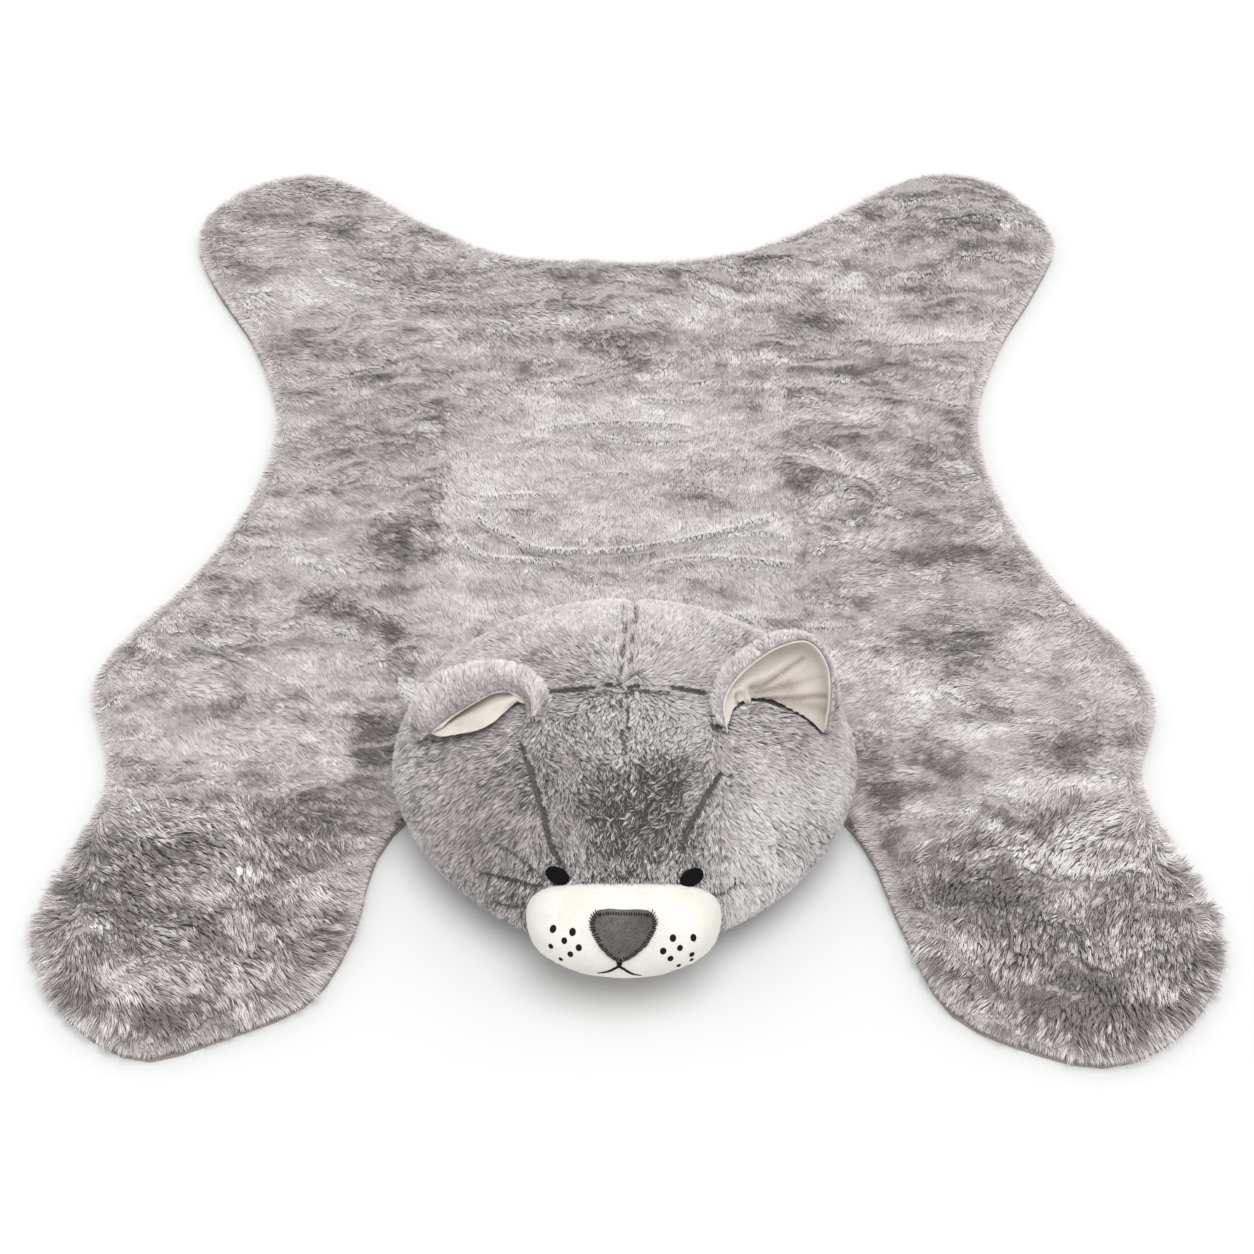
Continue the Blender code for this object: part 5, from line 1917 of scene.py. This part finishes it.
@dataclass
class Ear(Assembly):
    """One ear: fur outside, a cream lining inside.

    Attributes:
        side: Which ear it is.
        cut: The sizes its cloth is cut to. Not used.
        skin_depth: How far the fur's skin is drawn in for the pile, in metres.
        room_share: The most it is, as a share of the fur's thickness.
        each: Skin for one strand, in square metres.
        sewn_gap: How near the lining the fur is sewn to it, in metres.
        clear_lining: How near over the skin the lining keeps strands off, in metres.
        seed: Of the roots.
        pile_seed: Of the pile.
    """

    side: Side
    cut: EarCut
    skin_depth: float = 3.4 * MM
    room_share: float = 0.45
    each: float = 0.85e-6
    sewn_gap: float = 1.4 * MM
    clear_lining: float = 2.5 * MM
    seed: int = 81
    pile_seed: int = 82

    def __post_init__(self) -> None:
        """Name the ear by its side."""
        self.name = f"ear_{self.side.value}"

    def build(self) -> list[Thing]:
        """Build the lining, the fur's skin and its pile.

        Returns:
            The pieces.
        """
        lining = self.make_lining()
        skin, roots = self.make_skin()
        pieces = Pile(f"{self.name}_pile", EAR_PILE, self.pile_seed).grow(
            roots, self.strands(roots), self.each, GREY_PILE.strands())
        self.ride(lining, "ear_lining")
        self.ride(skin, "ear_fur")
        for piece in pieces:
            self.ride(piece, "ear_fur")
        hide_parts(f"{self.name}_lining")
        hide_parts(f"{self.name}_fur")
        return [lining, skin, *pieces]

    def make_lining(self) -> Thing:
        """Raise the lining's soft folds on the side that shows, and paint shade into its
        creases.

        Returns:
            The lining.
        """
        lining = merged_copy(f"{self.name}_lining", f"{self.name}_inside")
        refine(lining, 2)
        places, normals = places_of(lining), normals_of(lining)
        fur = nodes_tree(f"{self.name}_fur")
        free = smoothstep((distances(places, fur) / MM - 0.9) / 1.0)
        rise = np.zeros(len(places))
        shade = np.zeros(len(places))
        for side, _, height, breadth, change, *corners in EAR_FOLDS:
            if side == self.side.value:
                line = smooth_line(np.array(corners, float), 60)
                _, away = nearest(places / MM, line)
                share = bell(away, breadth)
                rise += height * share
                shade += change * share
        move_to(lining, places + normals * (rise * free * MM)[:, None])
        layer = lining.data.attributes.new(CREASE_SHADE, "FLOAT", "POINT")
        layer.data.foreach_set("value", np.clip(0.5 + 0.5 * shade, 0.0, 1.0))
        finish_with(lining, LINING_FLEECE.build(CREASE_SHADE))
        return lining

    def make_skin(self) -> tuple[Thing, Roots]:
        """Draw the fur in by its pile.

        Returns:
            The fur's skin, and the roots on it.
        """
        skin = merged_copy(f"{self.name}_fur", f"{self.name}_skin")
        cloth = nodes_tree(f"{self.name}_lining")
        places, normals = places_of(skin), normals_of(skin)
        own = tree_of(skin)
        depth = np.array([self.depth_at(Vector(p), Vector(n), cloth, own)
                          for p, n in zip(places, normals)])
        move_to(skin, places - normals * depth[:, None])
        refine(skin, 1)
        finish_with(skin, GREY_PILE.skin())
        return skin, scatter(skin, self.each, self.seed).clear_of(cloth, self.clear_lining)

    def depth_at(self, place: Vector, normal: Vector, cloth: BVHTree, own: BVHTree) -> float:
        """How far the skin is drawn in at a point: not at all beside the lining.

        Args:
            place: The point.
            normal: Of the fur there.
            cloth: The lining.
            own: The fur.

        Returns:
            The depth, in metres.
        """
        if cloth.find_nearest(place)[3] < self.sewn_gap:
            return 0.0
        hit = own.ray_cast(place - normal * 0.2 * MM, -normal, 20.0 * MM)
        room = hit[3] if hit[0] is not None else 0.0
        return min(self.skin_depth, room * self.room_share)

    def strands(self, roots: Roots) -> Strands:
        """What grows at each root of the ear: strands that lie from the rim back.

        Args:
            roots: Where strands stand.

        Returns:
            How each strand grows.
        """
        points = roots.places
        flow = unit(np.cross(roots.normals, (1.0, 0.0, 0.0)) + (0.0, 0.05, 0.0))
        turn = Wander.EAR_TURN.over(points) * 0.6
        flow = swing(flow, np.cross(flow, roots.normals), turn)
        cloth = nodes_tree(f"{self.name}_lining")
        near = 1.0 - smoothstep((distances(points, cloth) / MM - 1.5) / 6.0)
        beside = np.array([tuple(cloth.find_nearest(Vector(point))[0]) for point in points])
        flow = flow + unit(points - beside) * (2.4 * near)[:, None]
        tone = 0.70 + 0.16 * Wander.EAR_TONE.over(points) - 0.16 * near
        loose = 0.45 + 0.5 * Wander.EAR_LOOSENESS.over(points) + 0.2 * near
        return Strands(flow, EAR_PILE.length * (1.0 - 0.6 * near), tone,
                       np.clip(loose, 0.0, 1.0), 0.1 * near)


# Whisker dots on the muzzle: x, y, z in mm, and the dot's height in mm.
WHISKER_DOTS = (
    (-61, -498, 99, 6.4), (-45, -503, 102, 6.4), (-52, -507, 95, 5.6), (-63, -506, 86, 5.0),
    (-40, -512, 92, 6.0), (-47, -513, 84, 5.6), (-55, -511, 74, 4.4),
    (38, -507, 99, 6.2), (55, -504, 95, 6.0), (44, -511, 90, 5.6), (30, -514, 90, 6.2),
    (54, -510, 79, 5.4), (36, -515, 81, 5.8), (54, -510, 71, 4.0), (43, -513, 68, 4.4),
)
# The mouth's lines as x, y, z in mm, with the thread's breadth at each in mm.
MOUTH = (
    ((-8.4, -521, 90, 2.9), (-8, -521, 85, 2.8), (-7.4, -521, 80, 2.6), (-7, -521, 76, 2.2)),
    ((-3.8, -521, 90, 2.9), (-4.4, -521, 85, 2.8), (-5.4, -521, 80, 2.6),
     (-6.4, -521, 76, 2.2)),
    ((-6.6, -521, 77.5, 2.5), (-12, -521, 72.5, 2.5), (-17, -520, 69, 2.1),
     (-25, -520, 65, 0.8)),
    ((-6.6, -521, 77.5, 2.5), (-2, -521, 73, 2.5), (3, -521, 68, 2.2), (12, -519, 62, 0.9)),
)


def thread(points: Numbers, breadths: Numbers, name: str) -> Thing:
    """A round thread along points.

    Args:
        points: Its middle line, in metres.
        breadths: Its breadth at each point.
        name: Of the object.

    Returns:
        The thread as a mesh.
    """
    curve = bpy.data.curves.new(name, "CURVE")
    curve.dimensions = "3D"
    curve.bevel_depth = 0.5
    curve.bevel_resolution = 1
    curve.use_fill_caps = True
    spline = curve.splines.new("POLY")
    spline.points.add(len(points) - 1)
    for point, place, breadth in zip(spline.points, points, breadths):
        point.co = (*place, 1.0)
        point.radius = breadth
    drawn = placed(name, curve)
    graph = bpy.context.evaluated_depsgraph_get()
    mesh = bpy.data.meshes.new_from_object(drawn.evaluated_get(graph))
    bpy.data.objects.remove(drawn, do_unlink=True)
    return placed(name, mesh)


def join(things: list[Thing], name: str) -> Thing:
    """Make one mesh of several objects.

    Args:
        things: The objects, which are removed.
        name: Of the new one.

    Returns:
        The one object.
    """
    bm = bmesh.new()
    for thing in things:
        bm.from_mesh(thing.data)
        bpy.data.objects.remove(thing, do_unlink=True)
    return from_bmesh(bm, name)


@dataclass
class Muzzle(Assembly):
    """The padded muzzle with its stitched mouth and whisker dots.

    Attributes:
        thread_lift: How far the mouth's threads lie off the cloth, in metres.
        dot_height: Height of the dots over the cloth, in metres.
        dot_across: How many half breadths of a dot make its given height.
        dot_along: How many of its half lengths do.
    """

    name: str = "muzzle"
    thread_lift: float = 0.1 * MM
    dot_height: float = 0.7 * MM
    dot_across: float = 2.2
    dot_along: float = 1.75

    def build(self) -> list[Thing]:
        """Build the muzzle and what is stitched on it.

        Returns:
            The pieces.
        """
        pad = merged_copy("muzzle", "muzzle_pad")
        refine(pad, 1)
        finish_with(pad, CREAM_FLEECE.build())
        self.ride(pad, "muzzle_plush")
        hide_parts("muzzle")
        ground = tree_of(pad)
        sewing = [self.mouth(ground), self.dots(ground)]
        for piece in sewing:
            finish_with(piece, SEWING_THREAD.build())
            self.ride(piece, "eye_thread")
        return [pad, *sewing]

    def mouth(self, ground: BVHTree) -> Thing:
        """Lay the mouth's lines on the muzzle.

        Args:
            ground: The muzzle's surface.

        Returns:
            The lines as one piece.
        """
        lines = []
        for number, line in enumerate(MOUTH):
            curve = smooth_line(np.array(line, float) * MM, 6)
            laid = []
            for x, y, z, _ in curve:
                place, normal, *_ = ground.find_nearest(Vector((x, y, z)))
                laid.append(place + normal * self.thread_lift)
            lines.append(thread(np.array(laid), curve[:, 3], f"mouth_line_{number}"))
        return join(lines, "mouth")

    def dots(self, ground: BVHTree) -> Thing:
        """Sew the whisker dots on, as low rounds of thread.

        Args:
            ground: The muzzle's surface.

        Returns:
            The dots as one piece.
        """
        bm = bmesh.new()
        for x, y, z, height in WHISKER_DOTS:
            place, normal, *_ = ground.find_nearest(Vector((x, y, z)) * MM)
            turn = normal.to_track_quat("Z", "Y").to_matrix().to_4x4()
            size = Matrix.Diagonal((height / self.dot_across * MM,
                                    height / self.dot_along * MM, self.dot_height, 1.0))
            bmesh.ops.create_uvsphere(bm, u_segments=14, v_segments=8, radius=1.0,
                                      matrix=Matrix.Translation(place) @ turn @ size)
        return from_bmesh(bm, "whisker_dots")


@dataclass
class Nose(Assembly):
    """The felt nose with blanket stitches round it.

    Attributes:
        stitch_pitch: From one stitch to the next, in metres.
        facing: The way the nose faces.
        thread_lift: How far the threads lie off the felt, in metres.
        above: How far off they are laid from, in metres.
        seed: Of the stitches' unevenness.
        middle: Of the felt.
        axes: The nose's own right and up, as columns.
    """

    name: str = "nose"
    stitch_pitch: float = 2.15 * MM
    facing: tuple[float, float, float] = (0.0, -0.84, 0.54)
    thread_lift: float = 0.25 * MM
    above: float = 0.05
    seed: int = 4
    middle: Numbers = field(init=False)
    axes: Numbers = field(init=False)

    def build(self) -> list[Thing]:
        """Build the felt and its stitches.

        Returns:
            The pieces.
        """
        felt = merged_copy("nose", "nose_felt")
        finish_with(felt, NOSE_FELT.build())
        self.ride(felt, "nose_felt")
        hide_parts("nose")
        stitches = self.stitches(felt, tree_of(felt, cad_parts["muzzle"]))
        finish_with(stitches, SEWING_THREAD.build())
        self.ride(stitches, "eye_thread")
        return [felt, stitches]

    def outline(self, felt: Thing) -> tuple[Numbers, Numbers]:
        """Follow the felt's outline, seen square on.

        Args:
            felt: The nose.

        Returns:
            Even places on the outline, and the way in at each.
        """
        flat = (places_of(felt) - self.middle) @ self.axes
        hull = flat[convex_hull_2d([tuple(place) for place in flat])]
        closed = np.vstack([hull, hull[:1]])
        steps = np.linalg.norm(np.diff(closed, axis=0), axis=1)
        way = np.concatenate([[0.0], np.cumsum(steps)])
        at = np.arange(0.0, way[-1] - self.stitch_pitch / 2, self.stitch_pitch)
        edge = np.column_stack([np.interp(at, way, column) for column in closed.T])
        along = unit(np.roll(edge, -1, axis=0) - np.roll(edge, 1, axis=0))
        inward = np.column_stack([-along[:, 1], along[:, 0]])
        return edge, inward * -np.sign(dot(inward, edge))

    def stitches(self, felt: Thing, ground: BVHTree) -> Thing:
        """Sew the felt on: short threads over its edge, or inside it along the top.

        Args:
            felt: The nose.
            ground: What the threads lie on.

        Returns:
            The threads as one piece.
        """
        self.middle = places_of(felt).mean(axis=0)
        facing = np.array(self.facing)
        self.axes = np.column_stack([(1.0, 0.0, 0.0), np.cross(facing, (1.0, 0.0, 0.0))])
        rng = np.random.default_rng(self.seed)
        threads = []
        for number, (place, inward) in enumerate(zip(*self.outline(felt))):
            top = abs(inward[1]) > 0.8 and place[1] * np.sign(self.axes[2, 1]) > 0.0
            inner, outer = 3.9, 1.7
            if not top:
                inner, outer = rng.uniform(3.0, 4.0), rng.uniform(-1.8, -0.9)
            inward = unit(inward + rng.normal(0.0, 0.04 if top else 0.14, 2))
            laid = []
            for depth in np.linspace(inner, outer, 4) * MM:
                spot = self.middle + self.axes @ (place + inward * depth) + facing * self.above
                hit = ground.ray_cast(Vector(spot), Vector(-facing))
                laid.append(np.array(hit[0] + hit[1] * self.thread_lift))
            breadths = np.array((0.75, 0.95, 0.95, 0.6)) * (1.15 if top else 1.0) * MM
            threads.append(thread(np.array(laid), breadths, f"stitch_{number}"))
        return join(threads, "nose_stitches")


@dataclass
class Eyes(Assembly):
    """The two stitched eyes, longer towards the nose.

    Attributes:
        stretch: How much longer they are made along their slant.
        growth: How much larger they are made all round.
        slant: The way of the left eye's length.
    """

    name: str = "eyes"
    stretch: float = 0.22
    growth: float = 0.08
    slant: tuple[float, float, float] = (0.80, -0.46, -0.38)

    def build(self) -> list[Thing]:
        """Build both eyes.

        Returns:
            The pieces.
        """
        pieces = []
        for side in Side:
            eye = merged_copy(f"eye_{side.value}", f"stitched_eye_{side.value}")
            refine(eye, 1)
            places = places_of(eye)
            along = np.array(self.slant) * (1 if side is Side.LEFT else -1, 1, 1)
            off = places - places.mean(axis=0)
            move_to(eye, places + along * dot(off, along) * self.stretch + off * self.growth)
            finish_with(eye, EYE_THREAD.build())
            self.ride(eye, "eye_thread")
            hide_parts(f"eye_{side.value}")
            pieces.append(eye)
        return pieces


@dataclass(frozen=True)
class Studio:
    """The floor, the lights and the camera: metres, degrees, and mm for the lens."""

    elevation: float = 50.0
    distance: float = 2.42
    aim: float = -0.0875
    lens: float = 71.856
    sensor: float = 36.0
    sky: float = 0.90
    sun: float = 1.95
    sun_breadth: float = 40.0
    sun_way: tuple[float, float, float] = (-0.10, 0.14, -0.985)
    floor_size: float = 12.0
    floor_height: float = -0.0006
    floor_dark: float = 0.68
    floor_light: float = 0.695

    def build(self) -> None:
        """Set up what stands round the rug."""
        self.make_floor()
        self.make_lights()
        self.make_camera()
        view = bpy.context.scene.view_settings
        view.view_transform = "Standard"
        view.look = "None"
        view.exposure = 0.0
        view.gamma = 1.0

    def make_floor(self) -> None:
        """A pale floor just under the backing."""
        bm = bmesh.new()
        bmesh.ops.create_grid(bm, x_segments=1, y_segments=1, size=self.floor_size,
                              matrix=Matrix.Translation((0.0, 0.0, self.floor_height)))
        floor = from_bmesh(bm, "floor")
        graph = Graph("pale floor", 0.9)
        colour = graph.ramp(graph.noise(3.0, 2.0), (0.3, grey(self.floor_dark)),
                            (0.7, grey(self.floor_light)))
        finish_with(floor, graph.finish(colour, 0.0, 0.0))

    def make_lights(self) -> None:
        """A white sky and one broad soft light from above."""
        world = bpy.data.worlds.new("studio sky")
        world.use_nodes = True
        background = world.node_tree.nodes["Background"]
        background.inputs["Color"].default_value = (1.0, 1.0, 1.0, 1.0)
        background.inputs["Strength"].default_value = self.sky
        bpy.context.scene.world = world
        lamp = bpy.data.lights.new("soft sun", "SUN")
        lamp.energy = self.sun
        lamp.angle = math.radians(self.sun_breadth)
        holder = placed("soft sun", lamp)
        holder.rotation_euler = Vector(self.sun_way).to_track_quat("-Z", "Y").to_euler()

    def make_camera(self) -> None:
        """The camera that sees the rug from its head end."""
        data = bpy.data.cameras.new("camera")
        data.lens = self.lens
        data.sensor_width = self.sensor
        camera = placed("camera", data)
        tilt = math.radians(self.elevation)
        aim = Vector((0.0, self.aim, 0.0))
        camera.location = aim + Vector((0.0, -math.cos(tilt), math.sin(tilt))) * self.distance
        camera.rotation_euler = (aim - camera.location).to_track_quat("-Z", "Y").to_euler()
        bpy.context.scene.camera = camera


def triangles_in(piece: Thing) -> int:
    """How many triangles a piece has."""
    piece.data.calc_loop_triangles()
    return len(piece.data.loop_triangles)


def main() -> None:
    """Build the rug's looks in order, and log each piece."""
    logging.basicConfig(level=logging.INFO, format="%(message)s")
    Studio().build()
    total = 0
    assemblies: tuple[Assembly, ...] = (
        Rug(), Head(), Ear(Side.LEFT, LEFT_EAR_CUT), Ear(Side.RIGHT, RIGHT_EAR_CUT),
        Muzzle(), Nose(), Eyes(),
    )
    for assembly in assemblies:
        for piece in assembly.build():
            count = triangles_in(piece)
            total += count
            LOG.info("%s: %s, %d triangles", assembly.name, piece.name, count)
    LOG.info("in all %d triangles", total)


if __name__ == "__main__":
    main()
